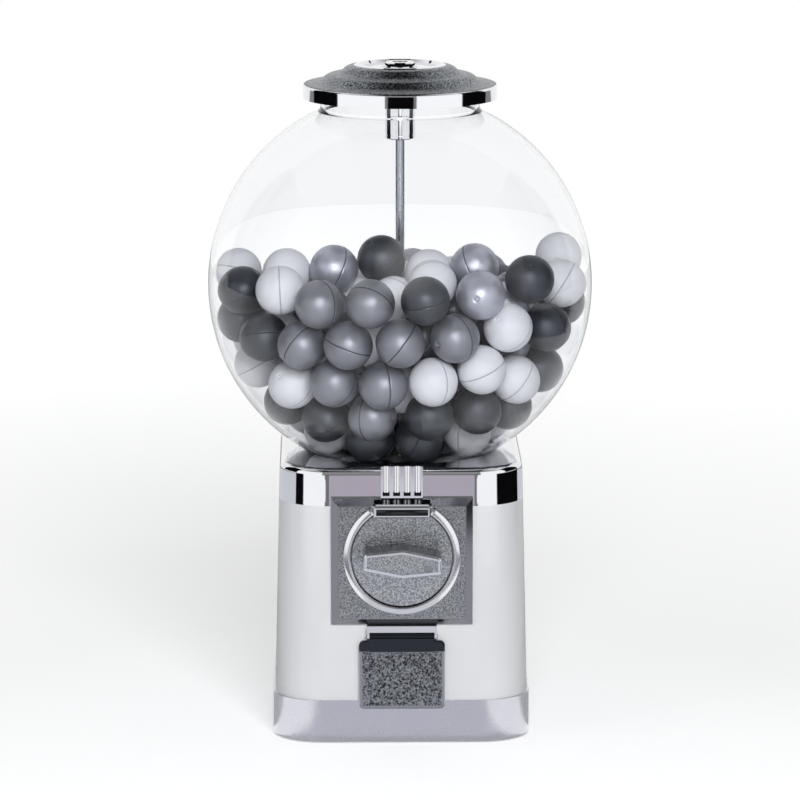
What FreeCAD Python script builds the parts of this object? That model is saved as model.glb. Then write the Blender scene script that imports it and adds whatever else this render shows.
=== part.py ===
import FreeCAD, Part
import math
import os
from types import SimpleNamespace

import Sketcher

# Gumball machine. Millimetres, +Z up, front towards -Y, origin on the table under the centre rod.

SIZES = {
    # Base tray and feet
    "base_width": 170.0,
    "base_height": 29.0,
    "base_wall": 6.0,
    "base_floor": 3.0,
    "corner_radius": 33.0,
    "foot_height": 7.5,
    "foot_radius": 9.0,
    "foot_inset": 29.0,
    "rim_lift": 1.0,
    "lip_height": 4.0,
    # Body shell
    "body_height": 130.0,
    "body_bottom_width": 167.5,
    "body_top_width": 161.5,
    "body_wall": 3.0,
    # Top collar
    "collar_height": 25.0,
    "collar_wall": 4.5,
    "collar_plate": 5.0,
    "collar_edge": 4.5,
    "seat_depth": 2.5,
    "seat_ledge": 4.5,
    # Globe
    "globe_radius": 128.0,
    "globe_wall": 2.5,
    "globe_foot_radius": 63.0,
    "globe_foot_height": 1.6,
    "globe_neck_radius": 53.0,
    "globe_neck_height": 14.0,
    "neck_blend": 3.0,
    # Lid
    "lid_radius": 64.5,
    "lid_skirt": 6.0,
    "lid_rim_top": 1.6,
    "lid_rim_edge": 2.0,
    "lid_tier_rise": 5.2,
    "lid_tier_run": 10.5,
    "lid_dish_radius": 27.0,
    "lid_dish_depth": 2.6,
    "lid_plate": 2.4,
    "lid_skirt_wall": 2.2,
    # Lock under the lid
    "lock_radius": 10.0,
    "lock_shank_radius": 8.0,
    "lock_plug_radius": 5.0,
    "lock_head_height": 4.0,
    "lock_nut_length": 31.0,
    "coupling_length": 13.4,
    "key_slot_width": 1.6,
    "key_slot_depth": 4.0,
    # Centre rod, nuts and washers
    "rod_radius": 3.0,
    "rod_entry": 10.0,
    "nut_flats": 10.0,
    "nut_height": 5.0,
    "washer_radius": 8.0,
    "washer_height": 1.0,
    # Dispensing wheel and hopper cup
    "ball_radius": 16.0,
    "pocket_radius": 17.6,
    "pocket_web": 4.4,
    "pocket_count": 5.0,
    "wheel_height": 27.0,
    "wheel_rim": 4.0,
    "hub_height": 10.0,
    "hub_radius": 9.5,
    "bush_wall": 2.85,
    "cup_wall": 2.5,
    "cup_floor": 2.4,
    "cup_flange": 5.5,
    "flange_gap": 2.45,
    "outlet_radius": 18.0,
    "deflector_sheet": 2.0,
    "deflector_drop": 3.4,
    # Gear train
    "pinion_teeth": 12.0,
    "crown_teeth": 60.0,
    "gear_width": 4.6,
    "crown_width": 6.0,
    "tooth_flank": 20.0,
    # Coin mechanism
    "bezel_width": 93.0,
    "bezel_above": 38.0,
    "bezel_below": 46.5,
    "bezel_stand": 7.5,
    "bezel_chamfer": 4.4,
    "ring_radius": 38.4,
    "ring_wall": 4.6,
    "ring_rise": 2.6,
    "disc_stand": 1.4,
    "disc_depth": 2.5,
    "face_skin": 1.6,
    "handle_reach": 26.0,
    "handle_length": 50.8,
    "handle_height": 18.5,
    "handle_end": 10.6,
    "handle_draft": 0.5,
    "handle_rim": 2.2,
    "handle_inset": 0.8,
    "handle_edge": 1.0,
    "handle_tilt": 3.0,
    "shaft_radius": 4.0,
    "shaft_entry": 9.0,
    "carrier_radius": 29.0,
    "carrier_width": 3.0,
    "coin_radius": 13.2,
    "ratchet_radius": 18.0,
    "ratchet_width": 2.5,
    "ratchet_tooth": 2.6,
    "ratchet_count": 16.0,
    "post_offset": 23.8,
    "post_radius": 3.2,
    "mech_depth": 12.6,
    "back_plate": 2.5,
    "back_plate_width": 66.0,
    "back_plate_height": 53.2,
    "pawl_x": 24.0,
    "pawl_z": 12.0,
    "pin_radius": 1.5,
    "screw_radius": 1.5,
    "screw_head_radius": 3.0,
    "screw_head": 2.2,
    "spring_wire": 0.9,
    "hub_length": 4.2,
    "hub_wall": 2.4,
    # Coin guide and slot hood
    "guide_width": 27.5,
    "guide_height": 21.0,
    "guide_depth": 2.8,
    "flute_radius": 2.4,
    "flute_pitch": 6.9,
    "hood_width": 37.0,
    "hood_reach": 6.5,
    "hood_height": 7.2,
    "hood_over": 0.6,
    "hood_lip": 1.5,
    "hood_window": 3.6,
    "ear_radius": 1.5,
    # Chute and flap door
    "chute_width": 37.0,
    "chute_wall": 1.8,
    "chute_toe": 13.0,
    "roof_drop": 5.2,
    "chute_back_drop": 66.0,
    "chute_front_drop": 44.0,
    "door_width": 56.5,
    "door_lift": 24.0,
    "door_drop": 3.0,
    "door_thickness": 2.5,
    "door_corner": 3.3,
    "door_tab_rise": 1.6,
    "door_tab_height": 7.5,
    "bracket_drop": 7.5,
    "hinge_radius": 2.5,
    "hinge_pin_radius": 1.25,
    "bracket_width": 46.0,
    "bracket_ear": 1.5,
    "bracket_height": 4.3,
    "bracket_stand": 4.3,
    # Fits
    "fit_gap": 0.3,
    "shaft_gap": 0.05,
    "tight_gap": 0.02,
    "thread_gap": 0.1,
    "turn_gap": 0.6,
}

doc = FreeCAD.newDocument("GumballMachine")
sheet = doc.addObject("Spreadsheet::Sheet", "Dims")
for row, (alias, number) in enumerate(SIZES.items(), start=1):
    sheet.set(f"A{row}", alias)
    sheet.set(f"B{row}", str(number))
    sheet.setAlias(f"B{row}", alias)
doc.recompute()


class Size:
    """A length or count: its number, and the formula that the document keeps for it."""

    def __init__(self, value, text):
        self.value = float(value)
        self.text = text

    def __add__(self, other):
        other = as_size(other)
        return Size(self.value + other.value, f"({self.text} + {other.text})")

    def __sub__(self, other):
        other = as_size(other)
        return Size(self.value - other.value, f"({self.text} - {other.text})")

    def __mul__(self, other):
        other = as_size(other)
        return Size(self.value * other.value, f"({self.text} * {other.text})")

    def __truediv__(self, other):
        other = as_size(other)
        return Size(self.value / other.value, f"({self.text} / {other.text})")

    def __neg__(self):
        return Size(-self.value, f"(-1 * {self.text})")

    def __radd__(self, other):
        return as_size(other) + self

    def __rsub__(self, other):
        return as_size(other) - self

    def __rmul__(self, other):
        return as_size(other) * self

    def __rtruediv__(self, other):
        return as_size(other) / self


def as_size(number):
    if isinstance(number, Size):
        return number
    return Size(number, f"({number})")


def root(size):
    return Size(math.sqrt(size.value), f"sqrt({size.text})")


def largest(one, two):
    return Size(max(one.value, two.value), f"max({one.text}; {two.text})")


def tangent(degrees):
    return Size(math.tan(math.radians(degrees.value)), f"tan({degrees.text} * 1 deg)")


def turned(radius, degrees):
    """The x and y of a point at a radius, turned from +Y towards +X."""
    angle = as_size(degrees)
    across = Size(math.sin(math.radians(angle.value)), f"sin({angle.text} * 1 deg)")
    along = Size(math.cos(math.radians(angle.value)), f"cos({angle.text} * 1 deg)")
    return radius * across, radius * along


D = SimpleNamespace(**{alias: Size(sheet.get(alias), f"Dims.{alias}") for alias in SIZES})

# Levels and widths that several pieces share.

base_half = D.base_width / 2
body_half = D.body_bottom_width / 2
body_top = D.base_height + D.body_height
body_taper = (D.body_bottom_width - D.body_top_width) / 2 / D.body_height


def wall_half(level):
    """Half the width of the tapered body at a level above the table."""
    return body_half - body_taper * (level - D.base_height)


collar_top = body_top + D.collar_height
plate_under = collar_top - D.collar_plate
seat_level = collar_top - D.seat_depth
globe_rise = seat_level + D.globe_foot_height
globe_centre = globe_rise + root(D.globe_radius * D.globe_radius - D.globe_foot_radius * D.globe_foot_radius)
globe_inside = D.globe_radius - D.globe_wall
neck_level = globe_centre + root(D.globe_radius * D.globe_radius - D.globe_neck_radius * D.globe_neck_radius)
neck_top = neck_level + D.globe_neck_height
seat_hole = D.globe_foot_radius - D.seat_ledge

hopper_room = D.body_top_width / 2 - D.collar_wall - D.flange_gap
cup_outside = hopper_room - D.cup_flange
cup_inside = cup_outside - D.cup_wall
flange_screw_ring = cup_outside + D.cup_flange / 2
wheel_radius = cup_inside - D.turn_gap * 3
crown_pitch = wheel_radius - D.wheel_rim
crown_inside = crown_pitch - D.crown_width / 2
pocket_ring = crown_inside - D.pocket_radius - D.pocket_web
gear_module = crown_pitch * 2 / D.crown_teeth
tooth_addendum = gear_module * 0.75
tooth_dedendum = gear_module
tooth_width = gear_module * 1.25
pinion_pitch = gear_module * D.pinion_teeth / 2

deflector_top = plate_under - D.deflector_drop
floor_top = deflector_top - D.deflector_sheet - D.turn_gap * 2 - D.ball_radius * 2
wheel_under = floor_top + D.turn_gap
wheel_top = wheel_under + D.wheel_height
pitch_level = wheel_under - tooth_dedendum
knob_height = pitch_level - pinion_pitch
channel_top = pitch_level - tooth_addendum - D.turn_gap * 2
cup_under = channel_top - D.cup_floor
bush_radius = D.rod_radius + D.thread_gap * 1.5 + D.bush_wall
bush_top = wheel_top + D.hub_height + 1.5

bezel_front = wall_half(knob_height) + D.bezel_stand
disc_front = bezel_front + D.disc_stand
handle_front = bezel_front + D.handle_reach
back_plate_front = bezel_front - D.mech_depth
recess_floor = disc_front - D.disc_depth - D.fit_gap
skin_back = recess_floor - D.face_skin
carrier_front = skin_back - D.fit_gap
carrier_back = carrier_front - D.carrier_width
ratchet_front = carrier_back - 0.4
ratchet_back = ratchet_front - D.ratchet_width
cavity_radius = D.carrier_radius + 1.5
gear_front = crown_pitch + D.gear_width / 2
gear_back = crown_pitch - D.gear_width / 2
ring_inside = D.ring_radius - D.ring_wall
disc_radius = ring_inside - 0.4
shaft_front = disc_front + D.shaft_entry
shaft_back = gear_back - D.fit_gap
screw_reach = bezel_front - D.bezel_chamfer - D.face_skin
hood_low = D.bezel_above - D.bezel_chamfer + D.hood_over - D.hood_height
hood_front = bezel_front + D.hood_reach
hood_back = disc_front + D.turn_gap

base_floor_top = D.foot_height + D.base_floor
hinge_height = knob_height - D.bezel_below - D.bracket_drop
door_back = largest(base_half, wall_half(hinge_height)) + D.fit_gap
door_front = door_back + D.door_thickness
door_height = hinge_height - D.door_drop - D.door_lift
hinge_depth = door_back + D.door_thickness * 0.36
bracket_reach = door_back + D.bracket_stand
chute_half = D.chute_width / 2 + D.chute_wall
chute_front = pocket_ring + D.outlet_radius + D.chute_wall + 0.2
chute_rear = pocket_ring - D.outlet_radius - D.chute_wall - 0.2
chute_floor = D.base_height + 1.2
chute_roof = hinge_height - D.roof_drop

lid_bottom = neck_top - D.lid_skirt
lid_rim_level = neck_top + D.lid_rim_top
lid_tier_foot = lid_rim_level + D.lid_rim_edge + 1.0
lid_crown = lid_tier_foot + D.lid_tier_rise * 2 + 1.4
lid_dish = lid_crown - D.lid_dish_depth
lid_under = lid_dish - D.lid_plate
lock_nut_bottom = lid_under - D.lock_nut_length
coupling_top = lock_nut_bottom - 0.5
coupling_bottom = coupling_top - D.coupling_length


# Drawing tools: bodies, sketches with closed outlines, and the features made from them.


class Bend:
    """An arc from one corner of an outline to the next, to the left or to the right of the way."""

    def __init__(self, radius, left=True):
        self.radius = as_size(radius)
        self.left = left


class Round:
    """A whole circle in a sketch."""

    def __init__(self, across, along, radius):
        self.across = as_size(across)
        self.along = as_size(along)
        self.radius = as_size(radius)


def new_body(name, level=None, tilt=0.0):
    body = doc.addObject("PartDesign::Body", name)
    body.Label = name
    body.AllowCompound = True
    if tilt:
        body.Placement = FreeCAD.Placement(FreeCAD.Vector(), FreeCAD.Rotation(FreeCAD.Vector(0, 1, 0), tilt))
    if level is not None:
        body.setExpression("Placement.Base.z", level.text)
    return body


def origin_feature(body, role):
    return next(item for item in body.Origin.OriginFeatures if item.Role == role)


def pin_point(constraints, sizes, geometry, end, across, along):
    for kind, axis, size in (("DistanceX", -2, across), ("DistanceY", -1, along)):
        if size.text == "(0)":
            constraints.append(Sketcher.Constraint("PointOnObject", geometry, end, axis))
            continue
        sizes[len(constraints)] = size
        constraints.append(Sketcher.Constraint(kind, -1, 1, geometry, end, size.value))


def arc_between(start, finish, bend):
    middle = (start + finish) * 0.5
    chord = finish - start
    left = FreeCAD.Vector(-chord.y, chord.x, 0).normalize()
    reach = math.sqrt(max(bend.radius.value ** 2 - (chord.Length / 2) ** 2, 0.0))
    centre = middle + left * (reach if bend.left else -reach)
    first, last = (start, finish) if bend.left else (finish, start)
    circle = Part.Circle(centre, FreeCAD.Vector(0, 0, 1), bend.radius.value)
    angles = [math.atan2(point.y - centre.y, point.x - centre.x) for point in (first, last)]
    return Part.ArcOfCircle(circle, angles[0], angles[1])


def add_outline(sketch, corners, constraints, sizes):
    """Adds a closed outline: corners are (x, y), or (x, y, Bend) where an arc leads to the next corner."""
    first = sketch.GeometryCount
    count = len(corners)
    places = [(as_size(corner[0]), as_size(corner[1])) for corner in corners]
    points = [FreeCAD.Vector(across.value, along.value, 0) for across, along in places]
    starts = []
    for index, corner in enumerate(corners):
        start = points[index]
        finish = points[(index + 1) % count]
        bend = corner[2] if len(corner) > 2 else None
        if bend is None:
            sketch.addGeometry(Part.LineSegment(start, finish), False)
        else:
            sketch.addGeometry(arc_between(start, finish, bend), False)
            sizes[len(constraints)] = bend.radius
            constraints.append(Sketcher.Constraint("Radius", first + index, bend.radius.value))
        starts.append(1 if bend is None or bend.left else 2)
    for index in range(count):
        following = (index + 1) % count
        end = 3 - starts[index]
        constraints.append(
            Sketcher.Constraint("Coincident", first + index, end, first + following, starts[following])
        )
        pin_point(constraints, sizes, first + index, starts[index], *places[index])


def draw(body, role, offset, *shapes):
    """Makes a sketch on one of the body's own planes, moved along that plane's normal."""
    sketch = body.newObject("Sketcher::SketchObject", body.Name + "_sketch")
    sketch.AttachmentSupport = [(origin_feature(body, role), "")]
    sketch.MapMode = "FlatFace"
    if offset is not None:
        sketch.AttachmentOffset = FreeCAD.Placement(FreeCAD.Vector(0, 0, offset.value), FreeCAD.Rotation())
        sketch.setExpression("AttachmentOffset.Base.z", offset.text)
    constraints = []
    sizes = {}
    for shape in shapes:
        if isinstance(shape, Round):
            centre = FreeCAD.Vector(shape.across.value, shape.along.value, 0)
            circle = Part.Circle(centre, FreeCAD.Vector(0, 0, 1), shape.radius.value)
            number = sketch.addGeometry(circle, False)
            sizes[len(constraints)] = shape.radius
            constraints.append(Sketcher.Constraint("Radius", number, shape.radius.value))
            pin_point(constraints, sizes, number, 3, shape.across, shape.along)
        else:
            add_outline(sketch, shape, constraints, sizes)
    sketch.addConstraint(constraints)
    for number, size in sizes.items():
        sketch.setExpression(f"Constraints[{number}]", size.text)
    return sketch


def extrude(body, sketch, length, cut=False, symmetric=False, reverse=False):
    """Pads a sketch along its plane's normal, or cuts with it against that normal."""
    kind = "PartDesign::Pocket" if cut else "PartDesign::Pad"
    feature = body.newObject(kind, body.Name + ("_cut" if cut else "_pad"))
    feature.Profile = sketch
    feature.setExpression("Length", length.text)
    feature.Midplane = symmetric
    feature.Reversed = reverse
    sketch.Visibility = False
    return feature


def revolve(body, sketch):
    feature = body.newObject("PartDesign::Revolution", body.Name + "_turned")
    feature.Profile = sketch
    feature.ReferenceAxis = (sketch, ["V_Axis"])
    feature.Angle = 360
    return feature


def loft(body, first, second, cut=False):
    kind = "PartDesign::SubtractiveLoft" if cut else "PartDesign::AdditiveLoft"
    feature = body.newObject(kind, body.Name + "_loft")
    feature.Profile = first
    feature.Sections = [second]
    feature.Ruled = True
    return feature


def polar(body, features, axis_role, count):
    pattern = body.newObject("PartDesign::PolarPattern", body.Name + "_ring")
    pattern.Originals = features
    pattern.Axis = (origin_feature(body, axis_role), [""])
    pattern.Angle = 360
    pattern.setExpression("Occurrences", count.text)
    body.Tip = pattern
    return pattern


def dress(body, kind, base, test, size):
    """Rounds or bevels the edges of a feature that pass a test."""
    doc.recompute()
    names = [f"Edge{number}" for number, edge in enumerate(base.Shape.Edges, start=1) if test(edge)]
    feature = body.newObject(f"PartDesign::{kind}", body.Name + "_edge")
    feature.Base = (base, names)
    feature.setExpression("Radius" if kind == "Fillet" else "Size", size.text)
    return feature


def box_outline(left, right, low, high):
    return [(left, low), (right, low), (right, high), (left, high)]


def rounded_outline(half_width, low, high, radius):
    """A rectangle with round corners, the same to the left and to the right."""
    inner = half_width - radius
    return [
        (-inner, low),
        (inner, low, Bend(radius)),
        (half_width, low + radius),
        (half_width, high - radius, Bend(radius)),
        (inner, high),
        (-inner, high, Bend(radius)),
        (-half_width, high - radius),
        (-half_width, low + radius, Bend(radius)),
    ]


def rounded_square(half, radius):
    return rounded_outline(half, -half, half, radius)


def ring_part(name, inner, outer, low, high):
    """A plain ring or sleeve round the machine's axis."""
    body = new_body(name)
    profile = draw(body, "XZ_Plane", None, [(inner, low), (outer, low), (outer, high), (inner, high)])
    revolve(body, profile)
    return body


# Base, body and collar.


def make_base_tray():
    body = new_body("base_tray")
    outline = draw(body, "XY_Plane", D.rim_lift, rounded_square(base_half, D.corner_radius))
    extrude(body, outline, D.base_height - D.rim_lift)
    inner_half = base_half - D.base_wall
    inner_corner = D.corner_radius - D.base_wall
    inside = draw(body, "XY_Plane", D.base_height, rounded_square(inner_half, inner_corner))
    extrude(body, inside, D.base_height - base_floor_top, cut=True)
    below = draw(body, "XY_Plane", D.rim_lift, rounded_square(inner_half, inner_corner))
    extrude(body, below, D.foot_height - D.rim_lift, cut=True, reverse=True)
    lip_half = body_half - D.body_wall - D.fit_gap
    lip_corner = D.corner_radius - D.body_wall - D.fit_gap
    lip = draw(
        body,
        "XY_Plane",
        D.base_height,
        rounded_square(lip_half, lip_corner),
        rounded_square(inner_half, inner_corner),
    )
    extrude(body, lip, D.lip_height)
    gate_half = chute_half + D.fit_gap * 2
    gate_outline = box_outline(-gate_half, gate_half, -base_half, -inner_half + 2)
    gate = draw(body, "XY_Plane", D.base_height, gate_outline)
    extrude(body, gate, D.lip_height + 1, cut=True, reverse=True)
    hole = draw(body, "XY_Plane", base_floor_top, Round(0, 0, D.rod_radius + D.fit_gap))
    extrude(body, hole, D.base_floor, cut=True)


def make_rubber_feet():
    body = new_body("rubber_feet")
    reach = base_half - D.foot_inset
    pad = extrude(body, draw(body, "XY_Plane", None, Round(reach, reach, D.foot_radius)), D.foot_height)
    polar(body, [pad], "Z_Axis", as_size(4))


def make_body_shell():
    body = new_body("body_shell")
    top_half = D.body_top_width / 2
    low = draw(body, "XY_Plane", D.base_height, rounded_square(body_half, D.corner_radius))
    high = draw(body, "XY_Plane", body_top, rounded_square(top_half, D.corner_radius))
    loft(body, low, high)
    inner_corner = D.corner_radius - D.body_wall
    low_inside = draw(body, "XY_Plane", D.base_height, rounded_square(body_half - D.body_wall, inner_corner))
    high_inside = draw(body, "XY_Plane", body_top, rounded_square(top_half - D.body_wall, inner_corner))
    loft(body, low_inside, high_inside, cut=True)
    reach = D.base_wall * 2
    mouth_half = chute_half + D.fit_gap
    mouth = box_outline(-mouth_half, mouth_half, D.base_height, chute_roof + D.fit_gap)
    extrude(body, draw(body, "XZ_Plane", base_half, mouth), reach, cut=True)
    window_half = D.post_offset + D.post_radius + 1.5
    window = box_outline(-window_half, window_half, knob_height - window_half, knob_height + window_half)
    extrude(body, draw(body, "XZ_Plane", base_half, window), reach, cut=True)


def make_top_collar():
    body = new_body("top_collar")
    low_half = D.body_top_width / 2
    outline = draw(body, "XY_Plane", body_top, rounded_square(low_half, D.corner_radius))
    outer = extrude(body, outline, D.collar_height)
    outer.setExpression("TaperAngle", f"-1 * atan({body_taper.text})")
    top = collar_top.value
    dress(body, "Fillet", outer, lambda edge: edge.BoundBox.ZMin > top - 0.01, D.collar_edge)
    inner_corner = D.corner_radius - D.collar_wall
    inner_low = draw(body, "XY_Plane", body_top, rounded_square(low_half - D.collar_wall, inner_corner))
    plate_half = wall_half(plate_under) - D.collar_wall
    inner_high = draw(body, "XY_Plane", plate_under, rounded_square(plate_half, inner_corner))
    loft(body, inner_low, inner_high, cut=True)
    globe_drop = globe_centre - collar_top
    globe_at_top = root(D.globe_radius * D.globe_radius - globe_drop * globe_drop)
    seat = draw(body, "XY_Plane", collar_top, Round(0, 0, globe_at_top + D.fit_gap))
    extrude(body, seat, D.seat_depth, cut=True)
    hole = draw(body, "XY_Plane", seat_level, Round(0, 0, seat_hole))
    extrude(body, hole, D.collar_plate, cut=True)
    lip_half = low_half - D.body_wall - D.fit_gap
    lip_inner = low_half - D.collar_wall - 0.8
    lip_corner = D.corner_radius - D.body_wall - D.fit_gap
    lip = draw(
        body,
        "XY_Plane",
        body_top,
        rounded_square(lip_half, lip_corner),
        rounded_square(lip_inner, lip_corner - lip_half + lip_inner),
    )
    extrude(body, lip, D.lip_height, reverse=True)
    across, along = turned(flange_screw_ring, 45)
    screw_hole = draw(body, "XY_Plane", plate_under, Round(across, along, D.screw_radius + D.shaft_gap))
    drilled = extrude(body, screw_hole, D.collar_plate - 1.5, cut=True, reverse=True)
    polar(body, [drilled], "Z_Axis", as_size(4))


# Hopper, wheel and the rod that clamps the stack.

def make_hopper_cup():
    body = new_body("hopper_cup")
    bore = D.rod_radius + D.fit_gap
    step = crown_inside - D.turn_gap * 3
    flange_under = plate_under - D.cup_wall
    flange_edge = cup_outside + D.cup_flange
    profile = [
        (bore, cup_under),
        (cup_outside, cup_under),
        (cup_outside, flange_under),
        (flange_edge, flange_under),
        (flange_edge, plate_under),
        (cup_inside, plate_under),
        (cup_inside, channel_top),
        (step, channel_top),
        (step, floor_top),
        (bore, floor_top),
    ]
    revolve(body, draw(body, "XZ_Plane", None, profile))
    outlet = draw(body, "XY_Plane", floor_top, Round(0, -pocket_ring, D.outlet_radius))
    extrude(body, outlet, floor_top - cup_under, cut=True)
    slot_half = pinion_pitch + tooth_addendum + 1
    slot = box_outline(-slot_half, slot_half, -gear_front - 1.5, -gear_back + 1.5)
    extrude(body, draw(body, "XY_Plane", channel_top, slot), D.cup_floor, cut=True)
    across, along = turned(flange_screw_ring, 45)
    hole = draw(body, "XY_Plane", plate_under, Round(across, along, D.screw_radius + D.fit_gap))
    drilled = extrude(body, hole, D.cup_wall, cut=True)
    polar(body, [drilled], "Z_Axis", as_size(4))


def make_hopper_screws():
    body = new_body("hopper_screws")
    across, along = turned(flange_screw_ring, 45)
    flange_under = plate_under - D.cup_wall
    head_under = flange_under - D.screw_head
    head = extrude(
        body, draw(body, "XY_Plane", head_under, Round(across, along, D.screw_head_radius - 0.4)), D.screw_head
    )
    shank_length = D.cup_wall + D.collar_plate - 2
    shank = extrude(
        body, draw(body, "XY_Plane", flange_under, Round(across, along, D.screw_radius)), shank_length
    )
    polar(body, [head, shank], "Z_Axis", as_size(4))


def make_dispensing_wheel():
    body = new_body("dispensing_wheel")
    bore = bush_radius + D.shaft_gap
    shoulder = pocket_ring + D.pocket_radius + 2
    profile = [
        (bore, wheel_under),
        (wheel_radius, wheel_under),
        (wheel_radius, wheel_top - D.wheel_height * 0.3),
        (shoulder, wheel_top),
        (D.hub_radius + 3, wheel_top),
        (D.hub_radius, wheel_top + D.hub_height),
        (bore, wheel_top + D.hub_height),
    ]
    revolve(body, draw(body, "XZ_Plane", None, profile))
    across, along = turned(pocket_ring, Size(180, "180") + 180 / D.pocket_count)
    pocket_sketch = draw(body, "XY_Plane", wheel_top, Round(across, along, D.pocket_radius))
    pocket = extrude(body, pocket_sketch, D.wheel_height, cut=True)
    polar(body, [pocket], "Z_Axis", D.pocket_count)
    tip_half = tooth_width / 2 - tooth_addendum * tangent(D.tooth_flank)
    root_half = tooth_width / 2 + tooth_dedendum * tangent(D.tooth_flank)
    tip = pitch_level - tooth_addendum
    bite = 0.5
    tooth_outline = [
        (-tip_half, tip),
        (tip_half, tip),
        (root_half, wheel_under),
        (root_half, wheel_under + bite),
        (-root_half, wheel_under + bite),
        (-root_half, wheel_under),
    ]
    tooth = extrude(body, draw(body, "XZ_Plane", crown_inside, tooth_outline), D.crown_width)
    polar(body, [tooth], "Z_Axis", D.crown_teeth)


def make_rod_stack():
    ring_part("wheel_bush", D.rod_radius + D.thread_gap * 1.5, bush_radius, floor_top, bush_top)
    nut_levels = {
        "low": D.foot_height - D.washer_height - D.nut_height,
        "floor": base_floor_top + D.washer_height,
        "wheel": bush_top + D.washer_height,
    }
    washer_levels = {
        "low": D.foot_height - D.washer_height,
        "floor": base_floor_top,
        "wheel": bush_top,
    }
    rod = new_body("centre_rod")
    rod_bottom = D.rim_lift
    rod_top = coupling_bottom + D.rod_entry
    rod_pad = extrude(rod, draw(rod, "XY_Plane", rod_bottom, Round(0, 0, D.rod_radius)), rod_top - rod_bottom)
    round_edge = D.rod_radius.value * 7
    dress(rod, "Chamfer", rod_pad, lambda edge: edge.Length < round_edge, D.rod_radius * 0.25)
    nuts = new_body("rod_nuts")
    corner = D.nut_flats / 2 / Size(math.cos(math.pi / 6), "cos(30 deg)")
    hexagon = [turned(corner, 60 * index) for index in range(6)]
    for level in nut_levels.values():
        sketch = draw(nuts, "XY_Plane", level, hexagon, Round(0, 0, D.rod_radius + D.tight_gap))
        extrude(nuts, sketch, D.nut_height)
    washers = new_body("rod_washers")
    for level in washer_levels.values():
        sketch = draw(
            washers, "XY_Plane", level, Round(0, 0, D.washer_radius), Round(0, 0, D.rod_radius + D.fit_gap)
        )
        extrude(washers, sketch, D.washer_height)


# Globe, lid and lock.


def make_globe():
    body = new_body("globe")
    foot_inside = D.globe_foot_radius - D.globe_wall
    neck_inside = D.globe_neck_radius - D.globe_wall
    foot_inner = globe_centre - root(globe_inside * globe_inside - foot_inside * foot_inside)
    neck_inner = globe_centre + root(globe_inside * globe_inside - neck_inside * neck_inside)
    profile = [
        (foot_inside, seat_level),
        (D.globe_foot_radius, seat_level),
        (D.globe_foot_radius, globe_rise, Bend(D.globe_radius)),
        (D.globe_neck_radius, neck_level),
        (D.globe_neck_radius, neck_top),
        (neck_inside, neck_top),
        (neck_inside, neck_inner, Bend(globe_inside, left=False)),
        (foot_inside, foot_inner),
    ]
    shell = revolve(body, draw(body, "XZ_Plane", None, profile))
    level = neck_level.value
    radius = D.globe_neck_radius.value

    def neck_edge(edge):
        box = edge.BoundBox
        return box.ZLength < 0.01 and abs(box.ZMin - level) < 0.01 and abs(box.XMax - radius) < 0.01

    dress(body, "Fillet", shell, neck_edge, D.neck_blend)


def make_lid():
    body = new_body("lid")
    rim_top = lid_rim_level + D.lid_rim_edge
    rise = D.lid_tier_rise
    run = D.lid_tier_run
    tier_outer = D.lid_radius - D.lid_rim_edge - 6.5
    low_top = lid_tier_foot + rise
    high_foot = low_top + 0.4
    high_top = high_foot + rise
    tier_inner = tier_outer - run - 2.5
    ring_edge = tier_inner - run - 2.5
    dish_edge = D.lid_dish_radius
    seat_inside = D.globe_neck_radius - D.globe_wall - 3
    hole = D.lock_shank_radius + D.fit_gap
    under_edge = dish_edge + 2
    profile = [
        (D.lid_radius, lid_bottom),
        (D.lid_radius, lid_rim_level, Bend(D.lid_rim_edge)),
        (D.lid_radius - D.lid_rim_edge, rim_top),
        (tier_outer, lid_tier_foot, Bend(run * 0.75, left=False)),
        (tier_outer - run * 0.5, lid_tier_foot + rise * 0.5, Bend(run * 0.75)),
        (tier_outer - run, low_top),
        (tier_inner, high_foot, Bend(run * 0.75, left=False)),
        (tier_inner - run * 0.5, high_foot + rise * 0.5, Bend(run * 0.75)),
        (tier_inner - run, high_top),
        (ring_edge, lid_crown - 0.6),
        (ring_edge - 0.6, lid_crown),
        (dish_edge, lid_crown),
        (dish_edge - 1.2, lid_dish + 0.8),
        (D.lock_radius + 3, lid_dish),
        (hole, lid_dish),
        (hole, lid_under),
        (under_edge, lid_under),
        (seat_inside, neck_top + 3),
        (seat_inside, neck_top),
        (D.lid_radius - D.lid_skirt_wall, neck_top),
        (D.lid_radius - D.lid_skirt_wall, lid_bottom),
    ]
    revolve(body, draw(body, "XZ_Plane", None, profile))


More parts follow.
